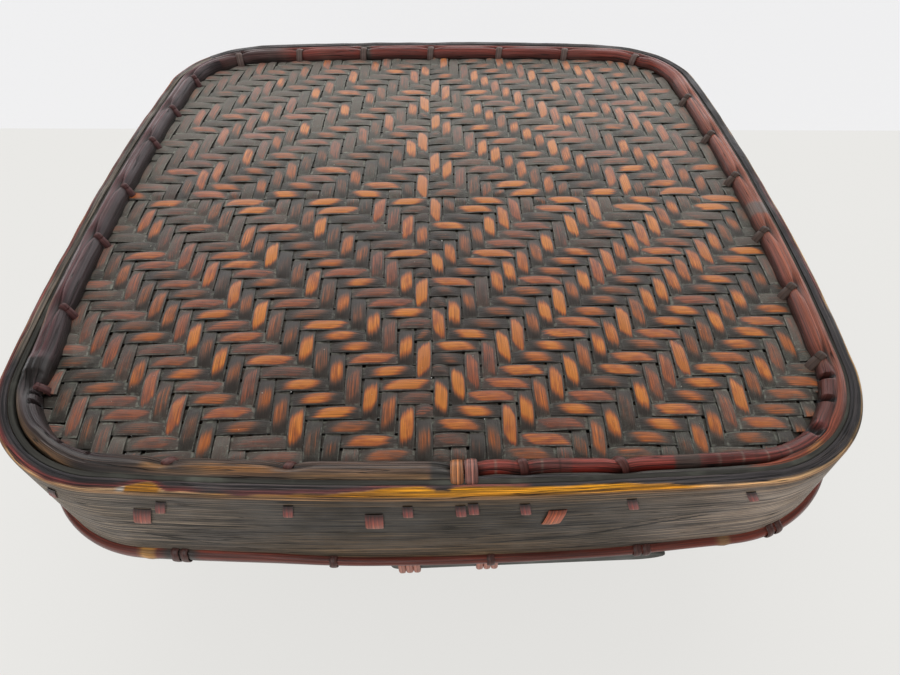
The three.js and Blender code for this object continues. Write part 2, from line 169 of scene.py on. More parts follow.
class Plan:
    """Stations round the outline, counter-clockwise from the back left corner"""

    def __init__(self, half, radius, rise, side_steps, corner_steps):
        side_radius = (half * half + rise * rise) / (rise + rise)
        back = side_radius - half
        span = side_radius - radius
        corner = (math.sqrt(2 * span * span - back * back) - back) / 2
        turn = math.atan2(corner, corner + back)
        on_side = np.linspace(-turn, turn, side_steps, endpoint=False)
        on_corner = np.linspace(turn, QUARTER_TURN - turn, corner_steps, endpoint=False)
        angles = np.concatenate([on_side, on_corner])
        is_side = np.arange(len(angles)) < side_steps
        radii = np.where(is_side, side_radius, radius)
        away = np.stack([np.cos(angles), np.sin(angles)], -1)
        centre = np.where(is_side[:, None], (-back, 0), (corner, corner))
        local = centre + away * radii[:, None]
        places, aways, side_numbers, alongs = [], [], [], []
        for quarter in range(4):
            cos, sin = ((1, 0), (0, 1), (-1, 0), (0, -1))[quarter]
            spin = np.array([[cos, sin], [-sin, cos]])
            places.append(local @ spin)
            aways.append(away @ spin)
            past = angles > QUARTER_TURN / 2
            side_numbers.append(np.where(past, (quarter + 1) % 4, quarter))
            alongs.append(np.where(past, -local[:, 0], local[:, 1]))
        first = len(angles) + side_steps + corner_steps // 2
        order = (np.arange(4 * len(angles)) + first) % (4 * len(angles))
        self.place = np.concatenate(places)[order]
        self.out = np.concatenate(aways)[order]
        self.side = np.concatenate(side_numbers)[order]
        self.along = np.concatenate(alongs)[order]
        steps = np.linalg.norm(np.roll(self.place, -1, axis=0) - self.place, axis=1)
        self.run = np.concatenate([[0], np.cumsum(steps)])
        self.count = len(order)

    def inwards(self, inset):
        """Places moved inwards; inset is one number or one for each station"""
        return self.place - self.out * np.reshape(inset, (-1, 1))

    def reach(self, inset, across):
        """From the centre line to the outline on the right, at a distance to the back"""
        ring = self.inwards(inset)
        ring = ring[ring[:, 0] > 0]
        ring = ring[np.abs(ring[:, 1]) < ring[:, 1].max() * 0.995]
        ring = ring[np.argsort(ring[:, 1])]
        return float(np.interp(across, ring[:, 1], ring[:, 0]))

    def on(self, side):
        """Which stations lie on a side"""
        return self.side == SIDES.index(side)

    def station(self, side, along):
        """The station nearest to a distance along one side, in millimetres"""
        chosen = np.flatnonzero(self.on(side))
        return int(chosen[np.argmin(np.abs(self.along[chosen] - along * MM))])

    def at(self, side, along):
        """Place and outward direction at a distance along one side"""
        chosen = np.flatnonzero(self.on(side))
        order = chosen[np.argsort(self.along[chosen])]
        place = [np.interp(along, self.along[order], self.place[order, axis]) for axis in (0, 1)]
        out = [np.interp(along, self.along[order], self.out[order, axis]) for axis in (0, 1)]
        return np.array(place), np.array(out) / np.hypot(*out)


def lid_plan(side_steps=160, corner_steps=54):
    lid = settings()[0]
    return Plan(lid.half_width, lid.corner_radius, lid.side_rise, side_steps, corner_steps)


def foot_plan(side_steps=84, corner_steps=36):
    body = settings()[2]
    return Plan(
        body.foot_half_width, body.foot_corner_radius, body.foot_side_rise, side_steps, corner_steps
    )


def on_lid(points):
    """Places drawn with the lid's lower edge at height zero, leant and lifted onto the body"""
    lid, _, body, _ = settings()
    share = (points[..., 2] - lid.moulding_height) / (lid.height - lid.moulding_height)
    drop = lid.top_lean * points[..., 0] / lid.half_width
    to_right, to_front = points[..., 0], -points[..., 1]
    near_corner = smooth(50 * MM, 95 * MM, to_right) * smooth(50 * MM, 120 * MM, to_front)
    drop = (drop + lid.corner_drop * near_corner) * np.maximum(share, 0)
    lifted = np.array(points, dtype=float)
    lifted[..., 2] += body.seat_height + HOOP_GAP - drop
    return lifted


def smooth(low, high, value):
    """Smooth step of a value, from 0 at low to 1 at high"""
    share = np.clip((value - low) / (high - low), 0, 1)
    return share * share * (3 - 2 * share)


# Making and keeping pieces


def bare():
    """Nothing selected"""
    bpy.ops.object.select_all(action="DESELECT")


def select(*pieces):
    bare()
    for piece in pieces:
        piece.select_set(True)
    bpy.context.view_layer.objects.active = pieces[0]


def use(piece, kind, **values):
    """Adds a modifier to a piece and applies it"""
    select(piece)
    modifier = piece.modifiers.new(kind.title(), kind)
    for name, value in values.items():
        setattr(modifier, name, value)
    bpy.ops.object.modifier_apply(modifier=modifier.name)


def join(pieces, name):
    select(*pieces)
    if len(pieces) > 1:
        bpy.ops.object.join()
    joined = bpy.context.view_layer.objects.active
    joined.name = name
    joined.data.name = name
    return joined


def recalculate(piece):
    """Closes a piece's seams and turns its faces outwards"""
    select(piece)
    bpy.ops.object.mode_set(mode="EDIT")
    bpy.ops.mesh.select_all(action="SELECT")
    bpy.ops.mesh.remove_doubles(threshold=1e-6)
    bpy.ops.mesh.normals_make_consistent(inside=False)
    bpy.ops.object.mode_set(mode="OBJECT")


def keep(piece, body, slot, *nodes, angle=40):
    select(piece)
    bpy.ops.object.shade_smooth_by_angle(angle=math.radians(angle))
    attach(piece, body)
    if nodes:
        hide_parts(*nodes)
    bare()
    return piece


def keep_rattan(piece, name, material, body, *nodes):
    piece.name = name
    piece.data.materials.append(material)
    recalculate(piece)
    keep(piece, body, "rattan", *nodes, angle=60)


def keep_woven(piece, body, replaced, thickness, *materials):
    for material in materials:
        piece.data.materials.append(material)
    use(piece, "SOLIDIFY", thickness=thickness, offset=-1, material_offset=len(materials) - 1)
    keep(piece, body, "woven_bamboo", replaced, angle=60)


def hoop(name, plan, inset, height, tint=None, on_lid_body=True):
    """A hoop: inset and height are one row, or one for each station, of its profile"""
    inset = np.broadcast_to(inset, (plan.count, np.shape(inset)[-1]))
    height = np.broadcast_to(height, inset.shape)
    flat = plan.place[:, None, :] - plan.out[:, None, :] * inset[..., None]
    places = np.concatenate([flat, height[..., None]], axis=2)
    if on_lid_body:
        places = on_lid(places)
    middle = np.stack([inset.mean(axis=0), height.mean(axis=0)], -1)
    steps = np.linalg.norm(np.roll(middle, -1, axis=0) - middle, axis=1)
    girth = np.concatenate([[0], np.cumsum(steps)])
    piece = ribbon(closed(places), plan.run, girth)
    piece.name = name
    piece.data.name = name
    if tint is not None:
        paint(piece, closed(tint).transpose(1, 0, 2))
    recalculate(piece)
    return piece


def closed(values):
    """A table of points with its first row and first column said again at the end"""
    values = np.concatenate([values, values[:1]])
    return np.concatenate([values, values[:, :1]], axis=1)


def rounded(outer, inner, bottom, top, radius, steps=3):
    """Profile of a flat hoop with soft edges, from the middle of its outside, going up"""
    insets, heights = [outer], [(bottom + top) / 2]
    corners = (
        (outer + radius, top - radius, math.pi), (inner - radius, top - radius, QUARTER_TURN),
        (inner - radius, bottom + radius, 0), (outer + radius, bottom + radius, -QUARTER_TURN),
    )
    for inset, height, start in corners:
        for step in range(steps + 1):
            angle = start - QUARTER_TURN * step / steps
            insets.append(inset + radius * math.cos(angle))
            heights.append(height + radius * math.sin(angle))
    return np.array(insets), np.array(heights)


def paint(piece, values):
    """One colour for each vertex, and how streaked it is where a fourth channel says so"""
    layer = piece.data.color_attributes.new("Tint", "FLOAT_COLOR", "POINT")
    rgba = np.ones((len(piece.data.vertices), 4))
    channels = values.shape[-1]
    rgba[:, :channels] = np.reshape(values, (-1, channels))
    layer.data.foreach_set("color", rgba.ravel())


def soften(plan, values, spread):
    """Values round a plan, blended over a distance in millimetres"""
    whole = plan.run[-1]
    even = np.arange(0, whole, MM)
    levels = np.interp(even, plan.run[:-1], values, period=whole)
    shifts = np.arange(-3 * spread, 3 * spread + 1)
    weights = np.exp(-((shifts / spread) ** 2))
    weights = weights / weights.sum()
    soft = sum(weight * np.roll(levels, shift) for weight, shift in zip(weights, shifts))
    return np.interp(plan.run[:-1], even, soft, period=whole)


def patch(tint, plan, side, start, end, colour_of, across=1, blur=2, amount=1):
    """Lays a colour over part of a hoop's tint, between two distances along a side, in millimetres"""
    along = plan.along / MM
    weight = smooth(start - blur, start + blur, along) * (1 - smooth(end - blur, end + blur, along))
    if side:
        weight = weight * plan.on(side)
    weight = weight[:, None] * np.broadcast_to(across, tint.shape[:2]) * amount
    return tint + (np.array(screen(*colour_of)) - tint) * weight[..., None]


def patched(ground, plan, inset, patches):
    """A hoop's tint: one colour, with patches laid on it in turn; a row says what patch takes"""
    tint = np.broadcast_to(np.array(ground), (*inset.shape, 3))
    for row in patches:
        tint = patch(tint, plan, *row)
    return tint


# Ribbons: strips, ties, stitches and wraps


def ribbon(places, run, offset, floats=None, shift=0):
    """A ribbon from a grid; places holds a row of points for each step along it"""
    rows, columns = places.shape[:2]
    bare()
    bpy.ops.mesh.primitive_grid_add(x_subdivisions=rows - 1, y_subdivisions=columns - 1, size=0.1)
    piece = bpy.context.object
    mesh = piece.data
    while mesh.uv_layers:
        mesh.uv_layers.remove(mesh.uv_layers[0])
    mesh.vertices.foreach_set("co", places.transpose(1, 0, 2).ravel())
    corners = np.empty(len(mesh.loops), dtype=int)
    mesh.loops.foreach_get("vertex_index", corners)
    across, along = np.divmod(corners.reshape(-1, 4), rows)
    grain = np.stack([run[along] + shift, offset[across] + shift], -1)
    mesh.uv_layers.new(name="Grain").data.foreach_set("uv", grain.ravel())
    if floats is not None:
        step = along.min(axis=1, keepdims=True)
        number, middle, half, slant, wear = floats
        cross = np.linspace(-1, 1, columns)[across]
        share = (number[along] - middle[step]) / half[step]
        place = np.stack([share, cross], -1)
        mesh.uv_layers.new(name="Place").data.foreach_set("uv", place.ravel())
        layer = mesh.color_attributes.new("Wear", "FLOAT_COLOR", "CORNER")
        rgba = np.broadcast_to(wear[step[:, 0]][:, None, :], (len(step), 4, 4)).copy()
        rgba[..., 3] = 0.5 + (slant / half)[step]
        layer.data.foreach_set("color", rgba.ravel())
    mesh.update()
    return piece


# Points across a strip, from one edge to the other
CROSS = np.linspace(-1, 1, 5)


class Floats:
    """The floats of one strip, at each quarter of a crossing; states says where the strip is on top"""

    def __init__(self, states, wears, slants):
        count = len(states)
        starts, ends = np.zeros(count, int), np.zeros(count, int)
        start = 0
        for i in range(1, count + 1):
            if i == count or states[i] != states[start]:
                starts[start:i] = start
                ends[start:i] = i
                start = i
        middle = (starts + ends) / 2
        half = (ends - starts) / 2
        self.number = np.arange(4 * count + 1) / 4
        self.here = np.minimum(np.arange(4 * count + 1), 4 * count - 1)
        self.on_top = np.repeat(states, 4)
        self.middle = np.repeat(middle, 4)
        self.half = np.repeat(half, 4)
        self.slant = np.repeat(slants[starts], 4)
        hidden = np.array([0.0, 0.5, 0.5, 1.0])
        worn = np.where(states[:, None], wears[starts], hidden)
        worn[:, 0] *= np.where(half < 1.1, 0.42, 1)
        self.wear = np.repeat(worn, 4, axis=0)

    def part(self, low, high):
        """What ribbon needs for the points from low to high"""
        faces = slice(low, max(high - 1, low + 1))
        return (
            self.number[low:high], self.middle[faces], self.half[faces] + 0.05, self.slant[faces],
            self.wear[faces],
        )

    def width(self, pinch):
        """Share of the strip's width: it is drawn in where it dives under the next"""
        here = self.here
        share = np.clip(np.abs(self.number - self.middle[here]) / self.half[here], 0, 1)
        return 1 - pinch * np.where(self.on_top[here], share ** 5, 1)

    def height(self, wave, crown, twist=0):
        """Height of the strip's face over the middle of the weave, for points along and across"""
        here = self.here
        cross = CROSS[None, :]
        share = np.clip((self.number - self.middle[here]) / self.half[here], -1, 1)
        arch = 1 - np.abs(share) ** 2.3
        rise = np.where(self.on_top[here], -0.3 + 1.55 * arch, -0.3 - 0.6 * arch) * wave
        over = (self.on_top[here] * arch)[:, None]
        bow = over * (1 - cross ** 2) * crown - over * crown * 0.6
        lift = over * twist * np.sign(self.slant[here])[:, None] * share[:, None] * cross * 2
        return rise[:, None] + bow + lift


# Nodes


def node(tree, kind, sockets=None, **values):
    made = tree.nodes.new("ShaderNode" + kind)
    for name, value in values.items():
        setattr(made, name, value)
    for socket, value in (sockets or {}).items():
        if isinstance(value, bpy.types.NodeSocket):
            tree.links.new(value, made.inputs[socket])
        else:
            made.inputs[socket].default_value = value
    return made


def maths(tree, operation, first, second=0.0, third=0.0, clamp=False):
    made = node(tree, "Math", {0: first, 1: second, 2: third}, operation=operation, use_clamp=clamp)
    return made.outputs[0]


def between(tree, value, low, high, start=0.0, end=1.0):
    """Smooth step of a value from low to high"""
    sockets = {"Value": value, "From Min": low, "From Max": high, "To Min": start, "To Max": end}
    return node(tree, "MapRange", sockets, interpolation_type="SMOOTHSTEP").outputs["Result"]


def blend(tree, factor, first, second, kind="MIX"):
    made = node(tree, "Mix", {0: factor, 6: first, 7: second}, data_type="RGBA", blend_type=kind)
    return made.outputs[2]


def product(tree, *values):
    """The values multiplied, one after the other"""
    result = values[0]
    for value in values[1:]:
        result = maths(tree, "MULTIPLY", result, value)
    return result


def larger(tree, first, second):
    return maths(tree, "MAXIMUM", first, second)


def dyed(tree, base, colour_of):
    """A colour multiplied by another"""
    return blend(tree, 1.0, base, colour_of, "MULTIPLY")


def noise(tree, vector, scales, detail=3.0, roughness=0.55):
    """Noise that is drawn out: scales say how fine it is along each axis of the vector"""
    scales = (*scales, 1.0)[:3]
    drawn_out = node(tree, "Mapping", {"Vector": vector, "Scale": scales}).outputs["Vector"]
    sockets = {"Vector": drawn_out, "Scale": 1.0, "Detail": detail, "Roughness": roughness}
    return node(tree, "TexNoise", sockets).outputs["Fac"]


def ramp(tree, factor, stops):
    made = node(tree, "ValToRGB", {"Fac": factor})
    elements = made.color_ramp.elements
    while len(elements) < len(stops):
        elements.new(0.5)
    for element, (place, value) in zip(elements, stops):
        element.position = place
        element.color = (*value, 1)
    return made.outputs["Color"]


def new_finish(name, roughness, specular, coat=0.0):
    """A new material with its node tree and its shader"""
    material = bpy.data.materials.new(name)
    material.use_nodes = True
    tree = material.node_tree
    shader = tree.nodes["Principled BSDF"]
    shader.inputs["Roughness"].default_value = roughness
    shader.inputs["Specular IOR Level"].default_value = specular
    shader.inputs["Coat Weight"].default_value = coat
    return material, tree, shader


def put_bump(tree, shader, height, distance):
    sockets = {"Height": height, "Distance": distance, "Strength": 1.0}
    tree.links.new(node(tree, "Bump", sockets).outputs["Normal"], shader.inputs["Normal"])


# How fine the grain is on each axis, on pieces that lie along the basket and across it
GRAIN_SCALES = {"along": (900, 40, 900), "across": (40, 900, 900)}
# Colours that the base colour is multiplied by
DARKER = (0.62, 0.58, 0.55, 1)
LIGHTER = (1.35, 1.3, 1.24, 1)
PALER = (3.0, 2.7, 2.3, 1)
REDDER = (0.8, 0.75, 0.7, 1)
# Colour of the cracks, and painted shade for the gaps between the strips
CRACK = (0.006, 0.005, 0.004, 1)
GAP_SHADE = (0.01, 0.01, 0.009, 1)


def grained(
    name, tint, roughness, grain=1.0, dust=0.3, cracks=0.0, specular=0.5, coat=0.0, way=None, streaks=0.0
):
    """Bamboo or rattan with its grain along the piece; tint is a colour, or None to use the paint"""
    material, tree, shader = new_finish(name, roughness, specular, coat)
    finish = settings()[3]
    if way:
        fibres = node(tree, "TexCoord").outputs["Object"]
        fine = noise(tree, fibres, GRAIN_SCALES[way], 4.0, 0.6)
    else:
        fibres = node(tree, "UVMap", uv_map="Grain").outputs["UV"]
        fine = noise(tree, fibres, (28, 1500), 4.0, 0.6)
    broad = noise(tree, fibres, (40, 260, 40))
    cloud = noise(tree, fibres, (55, 55, 55))
    streaked = 1.0
    if tint is None:
        painted = node(tree, "Attribute", attribute_name="Tint")
        base, streaked = painted.outputs["Color"], painted.outputs["Alpha"]
    else:
        base = (*tint, 1)
    darker = dyed(tree, base, DARKER)
    body = blend(tree, between(tree, fine, 0.32, 0.68), darker, dyed(tree, base, LIGHTER))
    body = blend(tree, product(tree, between(tree, broad, 0.45, 0.75), 0.45), body, darker)
    if streaks:
        lines = noise(tree, fibres, (17, 1500), 5.0, 0.8)
        pale = product(tree, between(tree, lines, 0.51, 0.6), streaks * 0.75, streaked)
        body = blend(tree, pale, body, dyed(tree, body, PALER))
        dark = product(tree, between(tree, lines, 0.49, 0.37), streaks)
        body = blend(tree, dark, body, solid(26, 24, 23))
    dust_and_sheen = product(tree, between(tree, cloud, 0.5, 0.78), dust)
    body = blend(tree, dust_and_sheen, body, (*finish.dust, 1))
    height = fine
    if cracks:
        split = noise(tree, fibres, (9, 420), 2.0, 0.5)
        line = maths(tree, "ABSOLUTE", maths(tree, "SUBTRACT", split, 0.5))
        crack = product(tree, between(tree, line, 0.012, 0.0), cracks)
        body = blend(tree, crack, body, CRACK)
        height = maths(tree, "SUBTRACT", fine, product(tree, crack, 2.0))
    tree.links.new(body, shader.inputs["Base Color"])
    rough = between(tree, cloud, 0.3, 0.75, roughness - 0.06, min(roughness + 0.22, 0.95))
    tree.links.new(rough, shader.inputs["Roughness"])
    put_bump(tree, shader, height, 0.12 * MM * grain)
    return material


class StripMaps:
    """What the finish of a woven strip reads: place on its float, wear of the float with its dust and
    painted sheen, and noises
    """

    def __init__(self, tree):
        place = node(tree, "UVMap", uv_map="Place").outputs["UV"]
        self.grain = node(tree, "UVMap", uv_map="Grain").outputs["UV"]
        painted = node(tree, "Attribute", attribute_name="Wear")
        wear = node(tree, "SeparateColor", {"Color": painted.outputs["Color"]}).outputs
        self.strength, self.chance, self.dust_and_sheen = wear[0], wear[1], wear[2]
        parts = node(tree, "SeparateXYZ", {"Vector": place}).outputs
        slant = maths(tree, "SUBTRACT", painted.outputs["Alpha"], 0.5)
        self.leant = maths(tree, "SUBTRACT", parts["X"], product(tree, slant, parts["Y"]))
        self.far_along = maths(tree, "ABSOLUTE", parts["X"])
        self.far_across = maths(tree, "ABSOLUTE", parts["Y"])
        self.streak = noise(tree, self.grain, (45, 1500), 3.0, 0.6)
        self.fine = noise(tree, self.grain, (70, 4600), 2.0, 0.7)


def rubbed_level(tree, maps, wear_share):
    """How far a strip is rubbed: most on the crown of a float, with ragged ends, in lines"""
    ragged = product(tree, maths(tree, "SUBTRACT", maps.streak, 0.5), 0.6)
    reach = maths(tree, "ADD", maths(tree, "ABSOLUTE", maps.leant), ragged)
    corners = product(tree, maths(tree, "POWER", maps.far_across, 2.0), 0.16)
    reach = maths(tree, "ADD", reach, corners)
    hard_end = maths(tree, "MULTIPLY_ADD", maps.chance, 0.16, 0.86)
    soft_end = maths(tree, "MULTIPLY_ADD", maps.chance, 0.55, 0.08)
    side = maths(tree, "MULTIPLY_ADD", ragged, 0.35, maps.far_across)
    core = product(tree, between(tree, reach, hard_end, soft_end), between(tree, side, 0.98, 0.6))
    broad = noise(tree, maps.grain, (130, 330))
    level = product(tree, core, maps.strength, between(tree, broad, 0.25, 0.62, 0.78, 1.1))
    lines = maths(tree, "ADD", product(tree, maps.streak, 0.9), product(tree, maps.fine, 0.9))
    lines = product(tree, maths(tree, "SUBTRACT", lines, 0.92), core)
    level = maths(tree, "MULTIPLY_ADD", lines, maths(tree, "SUBTRACT", 1.45, maps.strength), level)
    return product(tree, between(tree, level, 0.04, 1.0), wear_share)


def dust_level(tree, maps, rubbed):
    """How much dust lies on a strip: in the hollows, and as a film where nothing rubs it, which thickens
    towards the back partly as a painted sheen
    """
    ends = between(tree, maps.far_along, 0.78, 1.0)
    low = larger(tree, between(tree, maps.far_across, 0.7, 0.97), ends)
    cloud = between(tree, noise(tree, maps.grain, (260, 260)), 0.4, 0.62)
    cloud = larger(tree, cloud, product(tree, maps.dust_and_sheen, 0.6))
    specks = between(tree, noise(tree, maps.grain, (1700, 1700), 2.0), 0.38, 0.62, 0.45, 1.0)
    film = product(tree, maths(tree, "SUBTRACT", 1.0, rubbed, clamp=True), 0.95)
    film = product(tree, film, between(tree, maps.dust_and_sheen, 0.05, 0.65))
    dust = product(tree, larger(tree, low, film), product(tree, cloud, specks))
    return maths(tree, "MULTIPLY", dust, maps.dust_and_sheen, clamp=True)


def dust_outline(tree, maps):
    """The pale line of dust along the edges of a float"""
    away, ahead = maps.far_across, maps.far_along
    sides = product(tree, between(tree, away, 0.8, 0.89), between(tree, away, 0.98, 0.92))
    tips = product(tree, between(tree, ahead, 0.85, 0.92), between(tree, ahead, 1.0, 0.95))
    broken = between(tree, noise(tree, maps.grain, (420, 420), 2.0), 0.45, 0.62, 0.05, 0.9)
    return product(tree, larger(tree, sides, tips), product(tree, broken, maps.dust_and_sheen))


def worn_strips(name, wear_share=1.0):
    """Smoked strips of bamboo, rubbed through to orange on the crowns of the floats, with painted shade in
    the gaps and a painted sheen where the dust is thickest
    """
    material, tree, shader = new_finish(name, 0.5, 0.45)
    shader.inputs["Sheen Weight"].default_value = 0.1
    shader.inputs["Sheen Roughness"].default_value = 0.5
    finish = settings()[3]
    maps = StripMaps(tree)
    chance, dust_and_sheen = maps.chance, maps.dust_and_sheen
    rubbed = rubbed_level(tree, maps, wear_share)
    base = ramp(tree, rubbed, (
        (0.0, finish.smoke), (0.2, finish.brown), (0.5, finish.tan), (0.82, finish.orange),
        (1.0, finish.bright),
    ))
    base = blend(tree, between(tree, chance, 0.6, 1.0, 0.0, 0.8), base, dyed(tree, base, REDDER))
    least = between(tree, chance, 0.4, 0.95, 0.0, 0.85)
    base = blend(tree, least, base, solid(72, 51, 42), "LIGHTEN")
    shade = between(tree, maps.fine, 0.3, 0.7, 0.62, 1.18)
    base = dyed(tree, base, node(tree, "CombineColor", {0: shade, 1: shade, 2: shade}).outputs[0])
    dust = dust_level(tree, maps, rubbed)
    base = blend(tree, dust, base, (*finish.dust, 1))
    base = blend(tree, dust_outline(tree, maps), base, (*finish.pale_dust, 1))
    # Painted shade: near black at the edges and ends of each float, where the strips meet, weaker where the
    # dust is thicker
    tip = between(tree, maps.far_along, 0.97, 1.04)
    edge = larger(tree, between(tree, maps.far_across, 0.95, 1.0), tip)
    edge = product(tree, edge, maths(tree, "MULTIPLY_ADD", dust_and_sheen, -0.55, 0.95))
    base = blend(tree, edge, base, GAP_SHADE)
    speck = between(tree, noise(tree, maps.grain, (900, 900), 1.0), 0.78, 0.81)
    base = blend(tree, product(tree, speck, 0.6), base, solid(190, 184, 170))
    # Painted sheen: grey added where the dust lies thickest, which on the lid is towards the back
    base = blend(tree, between(tree, dust_and_sheen, 0.5, 1.0), base, solid(62, 59, 56), "ADD")
    tree.links.new(base, shader.inputs["Base Color"])
    rough = maths(tree, "SUBTRACT", 0.48, product(tree, rubbed, 0.12))
    rough = maths(tree, "ADD", rough, product(tree, dust, 0.35), clamp=True)
    tree.links.new(rough, shader.inputs["Roughness"])
    lift = maths(tree, "ADD", product(tree, maps.fine, 0.6), product(tree, maps.streak, 0.7))
    put_bump(tree, shader, lift, 0.2 * MM)
    return material


# Woven panel of the lid

# How far each strip is rubbed, counted outwards from the lines where the twill turns
ALONG_TONES_LEFT = (
    0.95, 0.72, 0.42, 0.78, 0.38, 0.6, 0.25, 0.92, 0.35, 0.42, 0.9, 0.4, 0.7, 0.35, 0.85, 0.5, 0.75, 0.8,
    0.45, 0.7, 0.8, 0.5, 0.6, 0.5,
)
ALONG_TONES_RIGHT = (
    1, 0.82, 0.4, 0.38, 1, 0.95, 0.55, 0.78, 0.88, 0.58, 0.95, 0.62, 0.95, 0.5, 0.7, 0.9, 0.8, 0.6,
    0.85, 0.7, 0.8, 0.5, 0.6, 0.5,
)
ACROSS_TONES_FRONT = (
    0.92, 0.86, 0.25, 0.78, 0.32, 0.4, 0.9, 0.72, 0.42, 0.68, 0.42, 0.52, 0.86, 0.72, 0.82, 0.8, 0.7,
    0.82, 0.75, 0.7, 0.76, 0.8, 0.65, 0.5,
)
ACROSS_TONES_BACK = (
    0.96, 0.8, 0.45, 0.8, 0.38, 0.66, 0.25, 0.52, 0.6, 0.7, 0.25, 0.8, 0.6, 0.5, 0.42, 0.7, 0.6, 0.4,
    0.6, 0.7, 0.5, 0.6, 0.5, 0.4,
)


# Crossings counted from the middle, and where they lie, in millimetres
COLUMN_PLACES = ((-24, -11, 0, 24), (-143, -68.2, 0, 140.6))
ROW_PLACES = ((-24, -6, 0, 24), (-136.3, -36.0, -0.6, 147.5))
# Strips whose middle lies farther out than this are left out
LAST_STRIP = 137.5
# From the outside of the band to the ends of the strips, under the rim's cane
STRIP_INSET = 11.6


def panel_place(column, row):
    """Where a crossing of the lid's weave lies; the strips open out a little towards the middle"""
    y = np.interp(row, *ROW_PLACES)
    out = np.interp(column, *COLUMN_PLACES)
    narrower = np.where(y < 0, 0.055 * (y / 125) ** 2, 0.04 * (y / 100) ** 2)
    middle_line = -2.5 + 2.2 * smooth(0, -130, y)
    return middle_line + out * (1 - narrower), y


def strip_wear(random, tone, rights, backs, open_share):
    """How far each float is rubbed, how it differs, and its dust and painted sheen; rights and backs run
    from -1 to 1
    """
    luck = random.random((len(rights), 3))
    strength = (0.12 + tone) * (0.76 + 0.4 * luck[:, 0])
    strength = np.where(luck[:, 2] < 0.12, strength * 0.55, strength)
    strength = np.clip(strength * (0.97 - 0.04 * backs), 0, 1.08) * (0.7 + 0.3 * open_share)
    # Dust beside the rim and towards the sides at the front; the rise towards the back is partly dust and
    # partly a painted sheen
    dust_and_sheen = 0.25 + 0.2 * np.abs(rights) * (backs < 0) + 0.65 * smooth(-0.5, 0.6, backs)
    dust_and_sheen += 0.35 * (luck[:, 1] - 0.5) + 0.3 * (1 - open_share)
    left = smooth(0.4, 0.85, -rights)
    strength = strength * (1 - 0.3 * left)
    strength = np.maximum(strength, (0.25 + 0.3 * luck[:, 1]) * left * smooth(0.1, -0.4, backs))
    differs = np.clip(luck[:, 1] + 0.35 * left, 0, 1)
    return np.stack([strength, differs, np.clip(dust_and_sheen, 0.1, 1), np.ones(len(rights))], -1)


def rubbed_share(plan, x, y):
    """How open to rubbing each crossing lies: 1 in the middle, 0 beside the rim and in the corners"""
    ring = plan.inwards(13 * MM)[::4] / MM
    places = np.stack([x, y], -1)
    nearest = np.full(x.shape, np.inf)
    for place in ring:
        nearest = np.minimum(nearest, np.hypot(*(places - place).transpose(2, 0, 1)))
    corner = smooth(168, 208, np.abs(x) + np.abs(y))
    return smooth(-2, 12, nearest) * (1 - 0.45 * corner)


def panel_strip(plan, floats, number, middle, is_across):
    """One strip of the lid's panel that ends under the rim's cane, or nothing where it lies too far out"""
    lid, weave, _, _ = settings()
    height = floats.height(weave.wave, weave.crown, weave.twist)
    middle = middle + 0.05 * np.sin(floats.number * 0.7 + number * 1.7)
    wide = weave.strip_share * floats.width(0.1)
    aside = middle[:, None] + CROSS * wide[:, None] / 2
    ahead = np.broadcast_to(floats.number[:, None] - weave.strips // 2, aside.shape)
    x, y = panel_place(ahead, aside) if is_across else panel_place(aside, ahead)
    going, beside_line = (x * MM, y * MM) if is_across else (y * MM, x * MM)
    centre = float(np.mean(beside_line))
    if abs(centre) > LAST_STRIP * MM:
        return None
    reach = plan.reach(STRIP_INSET * MM, centre)
    inside = np.flatnonzero(np.abs(going[:, 2]) < reach + weave.pitch / 4)
    if len(inside) < 5:
        return None
    low, high = inside[0], inside[-1] + 1
    going = np.clip(going, -reach, reach)
    flat = (going, beside_line) if is_across else (beside_line, going)
    top = lid.height - lid.panel_drop
    places = np.stack([*flat, height + top - 0.1 * MM], -1)[low:high]
    run = (floats.number * weave.pitch)[low:high]
    offset = CROSS * weave.pitch * weave.strip_share / 2
    strip = ribbon(on_lid(places), run, offset, floats.part(low, high), number * 0.0371)
    if not is_across:
        strip.data.flip_normals()
    return strip


def panel_pieces(random):
    """The panel's strips across and along: a twill that turns on both middle lines"""
    plan = lid_plan()
    count = settings()[1].strips
    half = count // 2
    numbers = np.arange(count) - half + 0.5
    shares = numbers / half
    is_far = numbers > 0
    rank = np.ceil(np.abs(numbers)).astype(int) - 1
    twill = (rank[None, :] + rank[:, None]) % 6 < 3
    turned = is_far[None, :] ^ is_far[:, None]
    across_on_top = twill ^ turned
    leaning = np.where(turned, -1.0, 1.0)
    rows, columns = np.meshgrid(numbers, numbers, indexing="ij")
    open_shares = rubbed_share(plan, *panel_place(columns, rows))
    directions = (
        ("across", across_on_top, leaning, open_shares, ACROSS_TONES_FRONT, ACROSS_TONES_BACK),
        ("along", ~across_on_top.T, leaning.T, open_shares.T, ALONG_TONES_LEFT, ALONG_TONES_RIGHT),
    )
    made = []
    for direction, on_top, lean, open_share, near_tones, far_tones in directions:
        is_across = direction == "across"
        strips = []
        for number in range(count):
            own = np.full(count, shares[number])
            rights, backs = (shares, own) if is_across else (own, shares)
            tones = far_tones if is_far[number] else near_tones
            tone = tones[rank[number] % len(tones)]
            wears = strip_wear(random, tone, rights, backs, open_share[number])
            floats = Floats(on_top[number], wears, lean[number] * (0.25 + 0.25 * wears[:, 1]))
            strips.append(panel_strip(plan, floats, number, numbers[number], is_across))
        strips = [strip for strip in strips if strip]
        made.append(join(strips, f"panel_strips_{direction}"))
    return made


